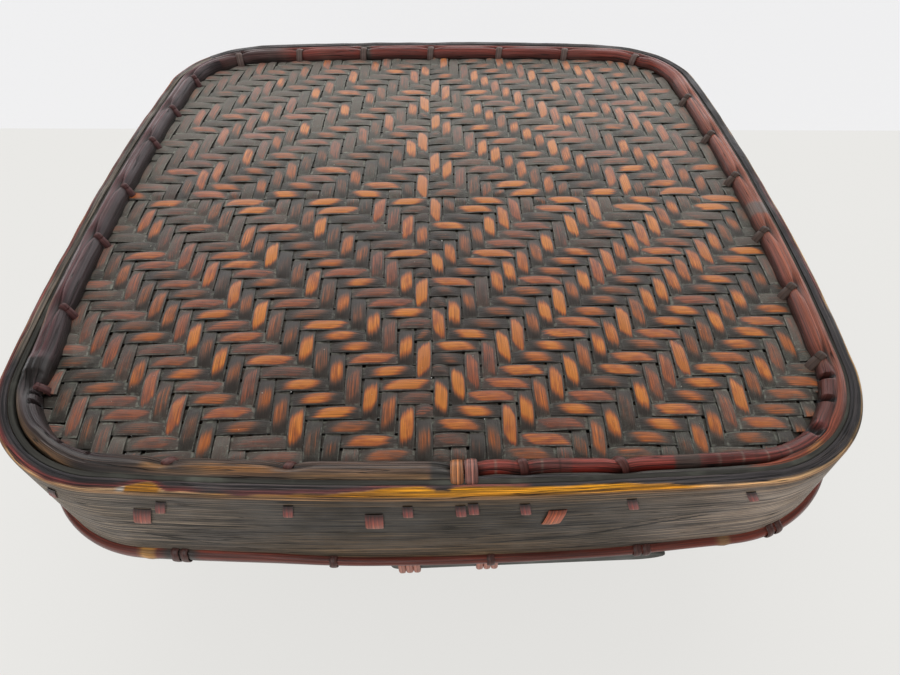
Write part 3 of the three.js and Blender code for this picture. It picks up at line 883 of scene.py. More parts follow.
class BuildLidPanel(Operator):
    """Weaves the lid's panel from strips of split bamboo"""
    bl_idname = "rice_basket.lid_panel"
    bl_label = "Lid panel"

    def execute(self, context):
        random = np.random.default_rng(7)
        weave = settings()[1]
        top = worn_strips("worn_strips")
        pith = grained("strip_undersides", settings()[3].pith, 0.7, dust=0.35)
        for piece in panel_pieces(random):
            keep_woven(piece, "lid", "lid_panel", weave.strip_thickness, top, pith)
        return {"FINISHED"}


# Band, filler, rim and moulding of the lid


# Width of the golden edge along the front, as distance along the side and width, in millimetres
GOLD_WIDTHS = (
    (-150, 0.7), (-95, 0.7), (-93, 1.2), (-84, 4.0), (-82, 3.6), (-79, 0.8), (-60, 0.6), (-42, 0.7),
    (-30, 1.2), (-22, 2.2), (-12, 3.3), (-3, 3.7), (2, 2.2), (6, 3.5), (13, 3.3), (30, 3.0),
    (55, 2.8), (70, 2.0), (76, 1.1), (100, 1.0), (120, 1.0), (150, 0.8),
)
SIDE_GOLD_WIDTH = 0.9
GOLD = (168, 114, 22)
# Pale worn gold, lightened as a painted highlight
PALE_GOLD_HIGHLIGHT = (196, 160, 104)
DARK_MAROON = (98, 48, 48)
SPLIT_SHADE = (0.008, 0.007, 0.006, 1)
# Splits in the front of the band: both ends, to the right and up, and the width, in millimetres
BAND_SPLITS = (
    ((12, 115.6), (56, 118.8), 0.6), ((46, 118.6), (90, 127.6), 1.0), ((60, 124.5), (84, 128.6), 0.5),
    ((-97, 122.4), (-78, 117.8), 0.9), ((-91, 118.6), (-70, 115.8), 0.6),
)


def draw_split(material, start, end, wide):
    """Darkens a ragged split on the front of the band"""
    tree = material.node_tree
    shader = tree.nodes["Principled BSDF"]
    place = node(tree, "TexCoord").outputs["Object"]
    parts = node(tree, "SeparateXYZ", {"Vector": place}).outputs
    share = maths(tree, "SUBTRACT", parts["X"], start[0] * MM)
    share = maths(tree, "DIVIDE", share, (end[0] - start[0]) * MM)
    line = maths(tree, "MULTIPLY_ADD", share, (end[1] - start[1]) * MM, start[1] * MM)
    wander = noise(tree, place, (120, 0, 0), 4.0, 0.7)
    line = maths(tree, "MULTIPLY_ADD", maths(tree, "SUBTRACT", wander, 0.5), 3 * MM, line)
    away = maths(tree, "ABSOLUTE", maths(tree, "SUBTRACT", parts["Z"], line))
    ends = product(tree, between(tree, share, 0.0, 0.15), between(tree, share, 1.0, 0.85))
    at_front = maths(tree, "LESS_THAN", parts["Y"], -100 * MM)
    dark = product(tree, between(tree, away, wide * MM, 0.0), ends, at_front)
    source = shader.inputs["Base Color"].links[0].from_socket
    tree.links.new(blend(tree, dark, source, SPLIT_SHADE), shader.inputs["Base Color"])


def band_profile(lid):
    """Insets and heights of the band's profile, from low on its outside, over its top and back"""
    top, radius, thick = lid.height, lid.edge_radius, lid.band_thickness
    profile = [(0, height * MM) for height in (22, 27, 32, 36, 38.5, 40.5, 42)]
    for step in range(1, 6):
        angle = QUARTER_TURN * step / 5
        profile.append((radius * (1 - math.cos(angle)), top - radius + radius * math.sin(angle)))
    profile += [(inset * MM, top) for inset in (2.0, 2.4, 2.8, 3.2, 3.6, 3.95)]
    soft = 0.5 * MM
    profile += [
        (thick - 0.05 * MM, top - 0.2 * MM), (thick, top - 1.5 * MM), (thick, 20 * MM), (thick, soft),
        (thick - soft, 0), (soft, 0), (0, soft), (0, 8 * MM), (0, 15 * MM),
    ]
    return np.array(profile).T


def band_tint(plan, inset, height):
    """Colours of the band: lighter towards its foot, lighter towards both front corners as a painted
    reflection, a worn golden line on its top, and painted highlights along its top edge
    """
    deep, high = inset / MM, height / MM
    run = plan.run[:-1]
    on_top = smooth(43.2, 43.9, high) * (deep < 4.29)
    front_gold = np.interp(plan.along / MM, *zip(*GOLD_WIDTHS))
    gold = soften(plan, np.where(plan.on("front"), front_gold, SIDE_GOLD_WIDTH), 2)
    gold = gold + 0.16 * np.sin(run * 210) + 0.1 * np.sin(run * 530 + 1)
    past = deep - gold[:, None]
    golden = on_top * smooth(0.2, 0.55, deep) * (1 - smooth(-0.3, 0.3, past))
    strip = on_top * smooth(-0.3, 0.3, past) * (1 - smooth(1.1, 1.9, past))
    red_top = on_top * (1 - smooth(1.6, 2.6, deep))
    foot = 1 - smooth(6, 24, high)
    # Painted highlight along the rounded top edge of the band's face
    edge_highlight = smooth(42.9, 43.4, high) * (1 - smooth(43.6, 44.0, high)) * (deep < 1)
    under = (1 - smooth(41.6, 43.0, high)) * smooth(37, 41, high)
    return patched(settings()[3].band, plan, inset, (
        (None, -FAR, FAR, (108, 90, 68), foot, 2, 0.6),
        # Painted reflection: the face lighter towards both front corners
        ("front", 40, FAR, (90, 84, 78), 1, 30),
        ("front", 84, FAR, (148, 137, 128), 1, 30),
        ("right", -FAR, -92, (148, 137, 128), 1, 26),
        ("front", -FAR, -52, (94, 88, 82), 1, 24),
        ("front", -FAR, -95, (126, 118, 109), 1, 30),
        ("left", 96, FAR, (124, 116, 107), 1, 30),
        (None, -FAR, FAR, (58, 55, 58), on_top),
        ("right", -FAR, FAR, (48, 46, 50), on_top),
        ("left", -FAR, 100, (92, 86, 80), on_top, 5),
        ("left", 95, FAR, (46, 44, 48), on_top, 5),
        ("front", -150, -95, (46, 44, 48), on_top, 8),
        ("left", -FAR, FAR, DARK_MAROON, red_top),
        ("front", -150, -70, DARK_MAROON, strip, 6),
        ("front", -60, -1, (96, 56, 58), strip, 5),
        ("front", 6, 28, (134, 80, 74), strip),
        ("right", -70, 10, (96, 54, 54), strip, 10, 0.8),
        ("front", -150, 150, (204, 168, 126), golden),
        ("front", -66, 80, GOLD, golden, 6),
        ("front", -93, -80, (170, 116, 30), golden, 1),
        ("front", -12, 60, (186, 130, 24), golden * (deep > 1.2), 10),
        ("front", 0.5, 5, (70, 60, 50), golden * smooth(1.6, 2.4, deep), 0.6),
        # Pale gold on the top edge of the sides: partly worn gold, partly a painted highlight
        ("left", -FAR, FAR, PALE_GOLD_HIGHLIGHT, golden, 2, 0.55),
        ("right", -FAR, FAR, PALE_GOLD_HIGHLIGHT, golden, 2, 0.45),
        ("back", -FAR, FAR, PALE_GOLD_HIGHLIGHT, golden, 2, 0.3),
        ("right", -118, -18, (206, 168, 112), golden, 8),
        ("front", -92.8, -90.6, (190, 188, 184), golden, 0.5),
        # Painted highlight along the rounded edge of the front
        ("front", -150, 135, (164, 128, 92), edge_highlight, 4, 0.7),
        ("front", -40, 130, (110, 88, 62), under, 20, 0.4),
    ))


class BuildLidBand(Operator):
    """Bends the lid's band and lays the filler strip inside it"""
    bl_idname = "rice_basket.lid_band"
    bl_label = "Lid band"

    def execute(self, context):
        lid = settings()[0]
        plan = lid_plan(220, 80)
        insets, heights = band_profile(lid)
        inset = np.broadcast_to(insets, (plan.count, len(insets)))
        height = np.broadcast_to(heights, inset.shape)
        run = plan.run[:-1]
        wander = 0.22 * np.sin(run * 47) + 0.15 * np.sin(run * 113 + 1) + 0.1 * np.sin(run * 290 + 2)
        worn = smooth(40 * MM, 44 * MM, height) * np.maximum(wander, -0.1)[:, None] * MM
        height = height - worn
        piece = hoop("lid_band_strip", plan, inset, height, band_tint(plan, inset, height))
        bamboo = grained("band_bamboo", None, 0.55, 1.6, 0.1, cracks=0.9, specular=0.35, streaks=1.0)
        for start, end, wide in BAND_SPLITS:
            draw_split(bamboo, start, end, wide)
        piece.data.materials.append(bamboo)
        keep(piece, "lid", "dark_bamboo", "lid_band")

        top = lid.height
        filler = rounded(4.32 * MM, 6.2 * MM, top - 4 * MM, top - 0.35 * MM, 0.4 * MM)
        strip = hoop("rim_filler", plan, *filler)
        strip.data.materials.append(grained("dusty_filler", screen(56, 56, 52), 0.85, 1.0, 0.8))
        keep(strip, "lid", "dusty_filler", "lid_filler")
        return {"FINISHED"}


# Where the ties lie on each side, as distance along it, in millimetres
TIE_PLACES = {
    "front": (-81.5, -44.2, 7.05, 11.4, 27.2, 57.4),
    "right": (-98, -64, -30, 10, 46, 83),
    "back": (-124.05, -78, -39, 1.95, 42, 79.95, 118.95),
    "left": (-74, -43, -4, 31, 72, 111, -109),
}
# How far each tie drifts along the side for each millimetre inwards
TIE_SLANTS = {
    "front": (-0.63, -0.2, 0, 0, 0.3, 0.66), "right": (0.75,) * 6, "back": (-0.2,) * 7,
    "left": (-0.6,) * 5 + (-0.2, -0.6),
}
# Numbers of the two ties at the front that lie over both halves of the cane
WIDE_TIES = (3, 4)
# Where the ties on each side come out, inwards from the split, in millimetres
TIE_STARTS = {"front": -0.2, "right": 1.9, "back": 0.2, "left": 2.0}
# How far past the cane's inner edge the ties on each side go down, in millimetres
TIE_ENDS = {"front": 0.55, "right": 2.4, "back": 0.55, "left": 1.5}
# Width and thickness of the ties on each side, in millimetres
TIE_SHAPES = {"front": (2.5, 0.6), "right": (2.7, 0.9), "back": (3.0, 0.9), "left": (2.4, 0.8)}
WIDE_TIE_SHAPE = (3.5, 0.7)
# Fine lines across the inner half, as distance along the front, in millimetres
SEAMS = (14.5, 19, 24, 33, 38.5, 88, 92, 95.5, 100, 104, 109, 113)
# Cuts across the inner half near the front corners: side, distance along it, half width, in millimetres
KERFS = (
    ("right", -109, 1.1), ("right", -121, 1.3), ("front", 128, 2.0), ("left", 114.7, 0.7),
    ("left", 120, 0.9), ("front", -122, 1.0), ("front", -108, 0.8),
)


def near_ties(plan, spread):
    """How near each station is to a tie, from 0 to 1"""
    closeness = np.zeros(plan.count)
    for side, places in TIE_PLACES.items():
        for along in places:
            distance = np.abs(plan.along / MM - along)
            hump = np.exp(-(distance / spread) ** 2) * plan.on(side)
            closeness = np.maximum(closeness, hump)
    return closeness


def half_round(share):
    return (1 - np.abs(np.clip(2 * share - 1, -1, 1)) ** 2.4) ** (1 / 2.4)


class Rim:
    """The rim's split cane: its two edges and its split at each station of a plan"""

    def __init__(self, plan):
        lid = settings()[0]
        along = plan.along / MM
        front = plan.on("front") * 1.0
        past_end = smooth(5, 11, along)
        far_right = smooth(25, 55, along)
        outer = np.choose(plan.side, (-0.9, 0.0, -0.8, -0.6))
        split = np.choose(plan.side, (-1.0, 0.0, -1.0, 0.7)) - (1.8 * past_end + far_right) * front
        inner = np.choose(plan.side, (-1.2, 0.3, -1.3, -1.0)) - 0.9 * front * far_right
        left_end = plan.on("left") * smooth(66, 92, along)
        front_start = front * (1 - smooth(-124, -100, along))
        outer = outer + 1.7 * (left_end + front_start)
        split = split + 1.6 * left_end + 0.8 * front_start
        inner = inner + 2.0 * left_end * (1 - smooth(104, 118, along)) - 0.6 * front_start
        self.high = lid.cane_height - soften(plan, 0.7 * front, 8) * MM
        self.ties = near_ties(plan, 6)
        self.apart = soften(plan, front * past_end * (1 - smooth(98, 114, along)), 3)
        self.outer = lid.cane_inset + soften(plan, outer, 8) * MM
        self.split = lid.cane_split + soften(plan, split, 3) * MM
        self.inner = lid.cane_end + (soften(plan, inner, 4) - 0.9 * near_ties(plan, 3.5)) * MM
        self.kerfs = np.zeros(plan.count)
        for side, place, half in KERFS:
            near = np.exp(-((along - place) / half) ** 4) * plan.on(side)
            self.kerfs = np.maximum(self.kerfs, near)

    def rise(self, insets, chosen=slice(None)):
        """Height of the cane over the panel, for one row of insets or one for each station"""
        rows = (self.outer, self.split, self.inner, self.apart, self.ties, self.kerfs, self.high)
        outer, split, inner, apart, ties, kerfs, high = (row[chosen, None] for row in rows)
        on_outer = insets < split
        start, end = np.where(on_outer, outer, split), np.where(on_outer, split, inner)
        whole = half_round((insets - outer) / (inner - outer))
        own = half_round((insets - start) / (end - start)) * np.where(on_outer, 0.8, 1)
        rise = high * (whole * (1 - apart) + own * apart)
        groove = (0.3 + 1.5 * ties) * np.exp(-(((insets - split) / MM) / (0.7 + 0.7 * ties)) ** 2)
        pinch = 0.7 * ties * smooth(0, 1, (insets - split) / (inner - split))
        cut = kerfs * smooth(0.05, 0.5, (insets - split) / (inner - split))
        return np.maximum(rise - (groove + pinch) * MM, 0.1 * MM) * (1 - 0.85 * cut)


def cane_tint(plan, rim, inset, half):
    """Colours of one half of the rim's cane, with painted shade along its inner edge and down its outer
    flank at the front, and how streaked it is
    """
    split = rim.split[:, None] / MM
    outer = rim.outer[:, None] / MM
    deep = inset / MM
    share = (inset - rim.outer[:, None]) / (rim.inner - rim.outer)[:, None]
    near_tie = rim.ties[:, None]

    def streak(middle, spread):
        """A line along the cane at a share of its width"""
        return np.exp(-((share - middle) / spread) ** 2)

    patches = [
        ("right", -FAR, FAR, (150, 82, 60), 1, 8),
        ("right", -FAR, FAR, (108, 56, 46), smooth(0.68, 0.95, share)),
        ("right", -FAR, -104, (128, 65, 47), 1, 22),
        ("right", 104, FAR, (124, 56, 44), 1, 22),
        ("right", -20, -12, (100, 90, 86), 1, 1.2, 0.9),
        ("right", -FAR, -100, (88, 44, 38), smooth(0.4, 0.6, share), 8),
        ("back", -FAR, FAR, (118, 50, 40)),
        ("back", 38, 44, (74, 66, 60), 1, 1.5),
        ("back", 90, FAR, (76, 48, 46), 1, 6),
        ("left", -FAR, FAR, (86, 48, 52)),
        ("left", -FAR, FAR, (58, 44, 48), smooth(0.6, 0.8, share)),
        ("left", 66, 84, (134, 96, 62), streak(0.16, 0.1), 4, 0.8),
        ("left", 104, FAR, (54, 45, 48)),
        ("left", 97.5, 108, (36, 30, 29), 1, 0.8),
    ]
    if half == "outer":
        dusty_edge = np.exp(-((deep - split + 0.7) / 0.5) ** 2)
        patches += [
            ("front", -150, 0, (84, 66, 52), 1, 3),
            ("front", -150, -88, (54, 46, 44), 1, 10),
            # Painted shade: dark along the outer edge of the outer half at the front, in the crevice beside
            # the band
            ("front", -150, 0, (44, 38, 35), 1 - smooth(0.06, 0.3, share), 3, 0.9),
            ("front", -72, -47, (146, 102, 58), streak(0.5, 0.18), 6),
            ("front", -44, 1, (134, 100, 56), 1 - smooth(0.2, 0.42, share), 5, 0.8),
            ("front", -88, -81, (150, 108, 60), streak(0.52, 0.14)),
            ("front", -48, FAR, (96, 80, 70), 0.3),
            ("front", 5, 98, (58, 56, 59), 1, 3),
            ("front", 98, FAR, (124, 62, 44), 1, 4),
            ("front", 119, 125, (150, 100, 60)),
            ("front", 3, 98, (104, 108, 98), dusty_edge, 2, 0.6),
        ]
    else:
        patches += [
            ("front", -150, 2, (84, 70, 63), 1, 3),
            ("front", -150, -95, (58, 45, 47), 1, 12),
            ("front", 13, 74, (126, 60, 54), 1, 0.6),
            ("front", 13, 74, (122, 36, 28), 1 - smooth(0.42, 0.6, share), 0.6),
            ("front", 82, 150, (96, 46, 42), 1, 3),
            ("front", 30, 42, (88, 60, 58), 1, 0.7, 0.6),
            ("front", 74, 82, (70, 58, 54), 1, 0.5, 0.9),
        ]
    flank = 1 - smooth(0.6, 1.9, deep - outer)
    patches += [
        ("front", -1, 5, (56, 54, 52), 1, 0.8),
        (None, -FAR, FAR, (78, 76, 69), flank, 2, 0.75),
        # Painted shade: darker on the outer flank along the front, in the crevice beside the band
        ("front", -150, 3, (46, 42, 39), flank, 2, 0.9),
    ]
    cleft = np.exp(-((deep - split) / (0.35 + 0.6 * near_tie)) ** 2) * (0.2 + 0.8 * near_tie)
    cut = rim.kerfs[:, None] * smooth(0.1, 0.5, share)
    if half == "inner":
        for number, along in enumerate(SEAMS):
            shade = (120, 112, 104) if number % 2 else (52, 34, 32)
            patches.append(("front", along - 0.3, along + 0.3, shade, 1, 0.3, 0.6))
    patches += [
        (None, -FAR, FAR, (30, 26, 25), cleft),
        # Painted shade along the cane's inner edge, where it meets the panel
        (None, -FAR, FAR, (30, 26, 25), smooth(0.93, 1.0, share), 2, 0.8),
        ("left", 114, FAR, (112, 86, 62), streak(0.2, 0.14), 4, 0.8),
        ("front", -150, -112, (112, 86, 62), streak(0.2, 0.14), 4, 0.8),
        (None, -FAR, FAR, (10, 9, 9), cut * (half == "inner")),
    ]
    tint = patched(settings()[3].maroon, plan, inset, patches)
    streaked = soften(plan, 0.2 + 0.8 * plan.on("front"), 8)
    return np.concatenate([tint, np.broadcast_to(streaked[:, None, None], (*inset.shape, 1))], axis=2)


def cane_base():
    """Height of the underside of the rim's cane over the lid's lower edge"""
    lid = settings()[0]
    return lid.height - lid.panel_drop + HOOP_GAP


class BuildRim(Operator):
    """Bends the two halves of the rim's split cane round the panel"""
    bl_idname = "rice_basket.rim"
    bl_label = "Rim"

    def execute(self, context):
        plan = lid_plan(300, 110)
        rim = Rim(plan)
        base = cane_base()
        shares = np.linspace(0, 1, 13)
        run = plan.run[:-1, None]
        along = plan.along / MM
        ribs = 0.07 * np.sin(shares * 26 + 2 * np.sin(run * 9)) + 0.05 * np.sin(shares * 47 + run * 30)
        ragged = 0.35 * MM * smooth(94, 98, along) * (1 - smooth(103, 105, along)) * plan.on("left")
        cane = grained("rim_bamboo", None, 0.4, 1.8, 0.16, cracks=0.8, specular=0.4, coat=0.05, streaks=0.7)
        for half, start, end in (("outer", rim.outer, rim.split), ("inner", rim.split, rim.inner)):
            gap = 0.06 * MM if half == "inner" else 0
            inset = start[:, None] + gap + shares * (end - start - gap)[:, None]
            inset = np.concatenate([inset[:, :1], inset, inset[:, -1:]], axis=1)
            rise = rim.rise(np.clip(inset, start[:, None] + 0.02 * MM, end[:, None] - 0.02 * MM))
            rise[:, 1:-1] += ribs * MM * np.sin(np.pi * shares)
            rise += ragged[:, None]
            height = base + np.maximum(rise, 0.1 * MM)
            height[:, 0] = base
            height[:, -1] = base
            piece = hoop(f"rim_cane_{half}", plan, inset, height, cane_tint(plan, rim, inset, half))
            piece.data.materials.append(cane)
            keep(piece, "lid", "red_bamboo", f"lid_{half}_bead", angle=50)
        return {"FINISHED"}


def moulding_form(plan):
    """The moulding at each station: share of its full height, and how far it sags at the front"""
    along = plan.along / MM
    front = plan.on("front")
    thinner = soften(plan, smooth(-75, -20, along) * (1 - smooth(95, 130, along)) * front, 6)
    sag = soften(plan, smooth(-62, -28, along) * (1 - smooth(55, 92, along)) * front, 6)
    return 1 - 0.42 * thinner, 1.7 * MM * sag


# Swollen nodes of the moulding: side and distance along it, in millimetres
NODES = (("front", -99), ("front", 97), ("right", 20), ("back", -60), ("left", 55))


class BuildMoulding(Operator):
    """Bends the rounded moulding round the band's lower edge"""
    bl_idname = "rice_basket.moulding"
    bl_label = "Moulding"

    def execute(self, context):
        lid = settings()[0]
        plan = lid_plan()
        swell = np.zeros(plan.count)
        for side, along in NODES:
            swell += np.exp(-((plan.along / MM - along) / 1.6) ** 2) * plan.on(side)
        angles = np.roll(np.linspace(-QUARTER_TURN, QUARTER_TURN, 13), -6)
        ends = np.abs(angles) > QUARTER_TURN - 0.01
        out = np.where(ends, -0.1 * MM, HOOP_GAP + lid.moulding_outset * np.abs(np.cos(angles)) ** 0.8)
        inset = -out - swell[:, None] * 0.35 * MM * np.cos(angles)
        shrunk, sag = moulding_form(plan)
        height = lid.moulding_height / 2 * (1 + np.sin(angles)) * shrunk[:, None]
        share = height / height.max(axis=1, keepdims=True)
        height = height - sag[:, None]
        under = 1 - smooth(0.1, 0.4, share)
        tint = patched(screen(104, 46, 34), plan, inset, (
            # Painted shade: darker over the moulding's lower half
            (None, -FAR, FAR, (74, 42, 38), 1 - smooth(0.3, 0.6, share)),
            # Painted highlight: pale pink along the underside at the front, as a reflection of the floor
            ("front", -20, 90, (150, 100, 92), under, 20, 0.8),
            ("front", -94, -82, (56, 46, 42)),
            ("front", -102, -97, (176, 130, 66), 1, 1),
            ("front", 95, 99, (130, 98, 66), 1, 1),
            ("left", -85, 85, (92, 54, 50), 1, 30),
        ))
        piece = hoop("moulding_cane", plan, inset, height, tint)
        bamboo = grained("moulding_bamboo", None, 0.34, 1.4, 0.1, coat=0.15, streaks=0.5)
        piece.data.materials.append(bamboo)
        keep(piece, "lid", "red_bamboo", "lid_moulding", angle=50)
        return {"FINISHED"}


# Rattan: ties, stitches, staples, wraps and lashings


def strap(path, ups, across, width, thickness, crown=0.3):
    """A strap along a path of points; ups points away from what it lies on, across over its width"""
    steps = np.linalg.norm(np.diff(path, axis=0), axis=1)
    run = np.concatenate([[0], np.cumsum(steps)])
    shares = np.array([-1, -0.82, -0.4, 0, 0.4, 0.82, 1])
    edge = thickness * 0.45
    lift = thickness * (1 - crown * np.abs(shares) ** 2.5)
    lift[0] = lift[-1] = edge
    offsets = shares * width / 2
    places = path[:, None, :] + across * offsets[:, None] + ups[:, None, :] * lift[:, None]
    piece = ribbon(places, run, offsets)
    piece.data.flip_normals()
    use(piece, "SOLIDIFY", thickness=edge, offset=-1)
    return piece


def drawn_ups(path, across, away=None):
    """Directions off a path, square to it and to the strap's width, on the side of the way out"""
    ups = np.cross(np.gradient(path, axis=0), across)
    ups = ups / np.linalg.norm(ups, axis=1, keepdims=True)
    if away is not None and np.dot(ups[len(path) // 2][:2], away) < 0:
        ups = -ups
    return ups


def flat_across(away):
    """Level direction across a strap whose face looks the way out"""
    return np.array([-away[1], away[0], 0.0])


def beside(plan, side, along, out, height, shift=0.0):
    """A place beside a side: out from the outline, up from the lid's lower edge, shifted along"""
    place, away = plan.at(side, along * MM)
    way = np.array([-away[1], away[0]])
    flat = place + away * out * MM + way * shift * MM
    return np.array([flat[0], flat[1], height * MM])


def tie_path(plan, rim, side, along, slant, wide):
    """Middle line of a tie, over the rim's cane and down past its inner edge"""
    station = plan.station(side, along)
    outer, split, inner = rim.outer[station], rim.split[station], rim.inner[station]
    start = outer + 0.3 * MM if wide else split + TIE_STARTS[side] * MM
    insets = np.concatenate([
        np.linspace(start, inner - 0.6 * MM, 16),
        inner + (np.array([0, 0.45, 0.8, 1]) * (TIE_ENDS[side] + 0.2) - 0.2) * MM,
    ])
    on_cane = np.minimum(insets, inner - 0.1 * MM)[None, :]
    ground = rim.rise(on_cane, slice(station, station + 1))[0]
    if wide:
        whole = half_round((insets - outer) / (inner - outer))
        ground = np.maximum(ground, rim.high[station] * whole * 0.9)
    lift = ground + (0.35 if wide else 0.15) * MM
    lift[-4:] = lift[-5] * np.array([0.85, 0.6, 0.3, 0])
    lift[-1] -= 0.5 * MM
    if not wide:
        lift[:2] -= np.array([0.9, 0.2]) * MM
    shifts = slant * ((split + inner) / 2 - insets) / MM
    heights = cane_base() + lift
    return on_lid(np.array([
        beside(plan, side, along, -inset / MM, height / MM, shift)
        for inset, height, shift in zip(insets, heights, shifts)
    ]))


class BuildTies(Operator):
    """Lays the rattan ties over the rim"""
    bl_idname = "rice_basket.ties"
    bl_label = "Ties"

    def execute(self, context):
        plan = lid_plan(300, 110)
        rim = Rim(plan)
        finishes = {
            "front": grained("red_rattan", screen(84, 48, 44), 0.45, 1.0, 0.15, specular=0.4),
            "left": grained("rose_rattan", screen(74, 42, 42), 0.45, 1.0, 0.15, specular=0.35),
            "right": grained("dark_rattan", screen(72, 58, 52), 0.5, 1.0, 0.3, specular=0.35),
            "wide_3": grained("golden_rattan", screen(140, 92, 58), 0.42, 1.8, 0.1, streaks=0.9),
            "wide_4": grained("pink_rattan", screen(116, 78, 72), 0.42, 1.8, 0.1, streaks=0.9),
            "back": grained("pale_rattan", screen(98, 82, 78), 0.5, 1.0, 0.3, specular=0.4),
        }
        for side, places in TIE_PLACES.items():
            for number, along in enumerate(places, 1):
                wide = side == "front" and number in WIDE_TIES
                path = tie_path(plan, rim, side, along, TIE_SLANTS[side][number - 1], wide)
                way = path[-1] - path[0]
                across = np.cross([0, 0, 1], [way[0], way[1], 0])
                across = across / np.linalg.norm(across)
                width, thick = WIDE_TIE_SHAPE if wide else TIE_SHAPES[side]
                piece = strap(path, drawn_ups(path, across), across, width * MM, thick * MM)
                material = finishes[f"wide_{number}" if wide else side]
                replaced = f"lid_tie_{side}_{number}"
                nodes = [replaced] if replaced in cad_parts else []
                keep_rattan(piece, f"rim_tie_{side}_{number}", material, "lid", *nodes)
        return {"FINISHED"}


# Where the stitches lie on each side, and the staples on the front, in millimetres
STITCH_PLACES = {
    "front": (-117, -82.5, -43.9, -8, 7.9, 11.7, 27.3, 59.9, 97.3),
    "right": (-96, -62, -28, 12, 48, 85),
    "back": (-124, -78, -39, 2, 42, 80, 119),
    "left": (-76, -45, -6, 29, 70, 109),
}
STAPLES = {"left": -90.75, "middle": -18.75, "right": 36.45}
RAISED_STITCH = ("front", 5)
# Colours of the stitches and staples, from the foot up: palest at the foot, as a painted highlight, and
# darkening towards the top
DARK_RED = ((150, 104, 92), (132, 58, 46), (118, 36, 28), (78, 26, 22), (28, 18, 17))
RED = ((168, 118, 106), (156, 86, 66), (140, 54, 34), (104, 36, 26), (38, 22, 19))
ORANGE = ((176, 120, 98), (182, 106, 72), (180, 90, 52), (168, 78, 40), (104, 48, 28))


def patch_strap(plan, side, along, height, width, tall, proud, lean, tones):
    """A short strap on the band's face whose ends go into the band; tones run from its foot up"""
    shares = np.linspace(-1, 1, 9)
    lift = proud * (1 - np.abs(shares) ** 5) - 0.15
    path = np.array([
        beside(plan, side, along, out, height + share * tall / 2, lean * share)
        for share, out in zip(shares, lift)
    ])
    away = plan.at(side, along * MM)[1]
    ups = np.broadcast_to([away[0], away[1], 0.0], path.shape)
    piece = strap(on_lid(path), ups, flat_across(away), width * MM, 0.5 * MM, crown=0.25)
    # Painted highlight at the foot of the strap, and darker towards its top, by height
    heights = np.array([vertex.co.z for vertex in piece.data.vertices])
    shares = (heights - heights.min()) / (heights.max() - heights.min())
    stops = np.linspace(0, 1, len(tones))
    levels = np.array([screen(*tone) for tone in tones])
    paint(piece, np.stack([np.interp(shares, stops, level) for level in levels.T], -1))
    return piece


class BuildStitches(Operator):
    """Sets the stitches and the wide staples into the band's face"""
    bl_idname = "rice_basket.stitches"
    bl_label = "Stitches"

    def execute(self, context):
        plan = lid_plan()
        rattan = grained("stitch_rattan", None, 0.42, 1.4, 0.04, specular=0.4, streaks=0.3)
        for side, places in STITCH_PLACES.items():
            stitches = []
            for number, along in enumerate(places):
                high = 37.2 if (side, number) == RAISED_STITCH else 36.0
                lean = -0.018 * along
                stitches.append(patch_strap(plan, side, along, high, 3.1, 7.4, 0.4, lean, DARK_RED))
            name = f"band_stitches_{side}"
            keep_rattan(join(stitches, name), name, rattan, "lid")
        for side, turn in (("front", 1), ("back", -1)):
            for place, along in STAPLES.items():
                bright = side == "front" and place == "right"
                lean = 0.8 if bright else -0.022 * along * turn
                tones = ORANGE if bright else RED
                piece = patch_strap(plan, side, along * turn, 29.7, 5.6, 9.8, 0.6, lean, tones)
                name = f"{side}_{place}"
                keep_rattan(piece, f"brace_staple_{name}", rattan, "lid", f"lid_staple_{name}")
        return {"FINISHED"}


# Where the wraps lie on the moulding, in millimetres
WRAPS = {
    "front": {
        "pair_left": -88.05, "single_left": -36, "single_right": 17.55, "pair_right": 69,
        "pair_corner": 114.5,
    },
    "back": {"pair_left": 79.5, "pair_right": -79.5},
}
PAIR_TURNS = (-1.6, 1.6)


def wrap_path(plan, side, along, half, outset, sag):
    """Middle line of one turn round the outside of the moulding; measures are in millimetres"""
    angles = np.radians(np.linspace(-52, 96, 15))
    outs = 0.3 + (outset + 0.15) * np.cos(angles)
    outs[-1] = 0.1
    outs[0] -= 0.9
    heights = half + (half + 0.3) * np.sin(angles) - sag
    return np.array([beside(plan, side, along, out, height) for out, height in zip(outs, heights)])


class BuildWraps(Operator):
    """Winds the rattan wraps round the moulding"""
    bl_idname = "rice_basket.wraps"
    bl_label = "Wraps"

    def execute(self, context):
        lid, _, _, finish = settings()
        plan = lid_plan()
        rattan = grained("rattan_strap", finish.rattan, 0.42, 0.8, 0.12, coat=0.1)
        shrunk, sags = moulding_form(plan)
        outset = lid.moulding_outset / MM
        for side, wraps in WRAPS.items():
            for name, along in wraps.items():
                straps = []
                station = plan.station(side, along)
                half = lid.moulding_height / MM / 2 * shrunk[station]
                sag = sags[station] / MM
                for turn in PAIR_TURNS if name.startswith("pair") else (0,):
                    away = plan.at(side, (along + turn) * MM)[1]
                    across = flat_across(away)
                    path = wrap_path(plan, side, along + turn, half, outset, sag)
                    wobble = 0.12 * MM * np.sin(np.arange(len(path)))
                    path = on_lid(path + across * wobble[:, None])
                    ups = drawn_ups(path, across, away)
                    straps.append(strap(path, ups, across, 2.6 * MM, 0.6 * MM))
                made = f"moulding_rattan_{side}_{name}"
                keep_rattan(join(straps, made), made, rattan, "lid", f"moulding_wrap_{side}_{name}")
        return {"FINISHED"}


# The body


# Stations on each side and corner of the wall, and how its strips are set out on them
WALL_STEPS = (84, 36)
STATIONS_PER_STAVE = 4
WALL_ROWS = 16
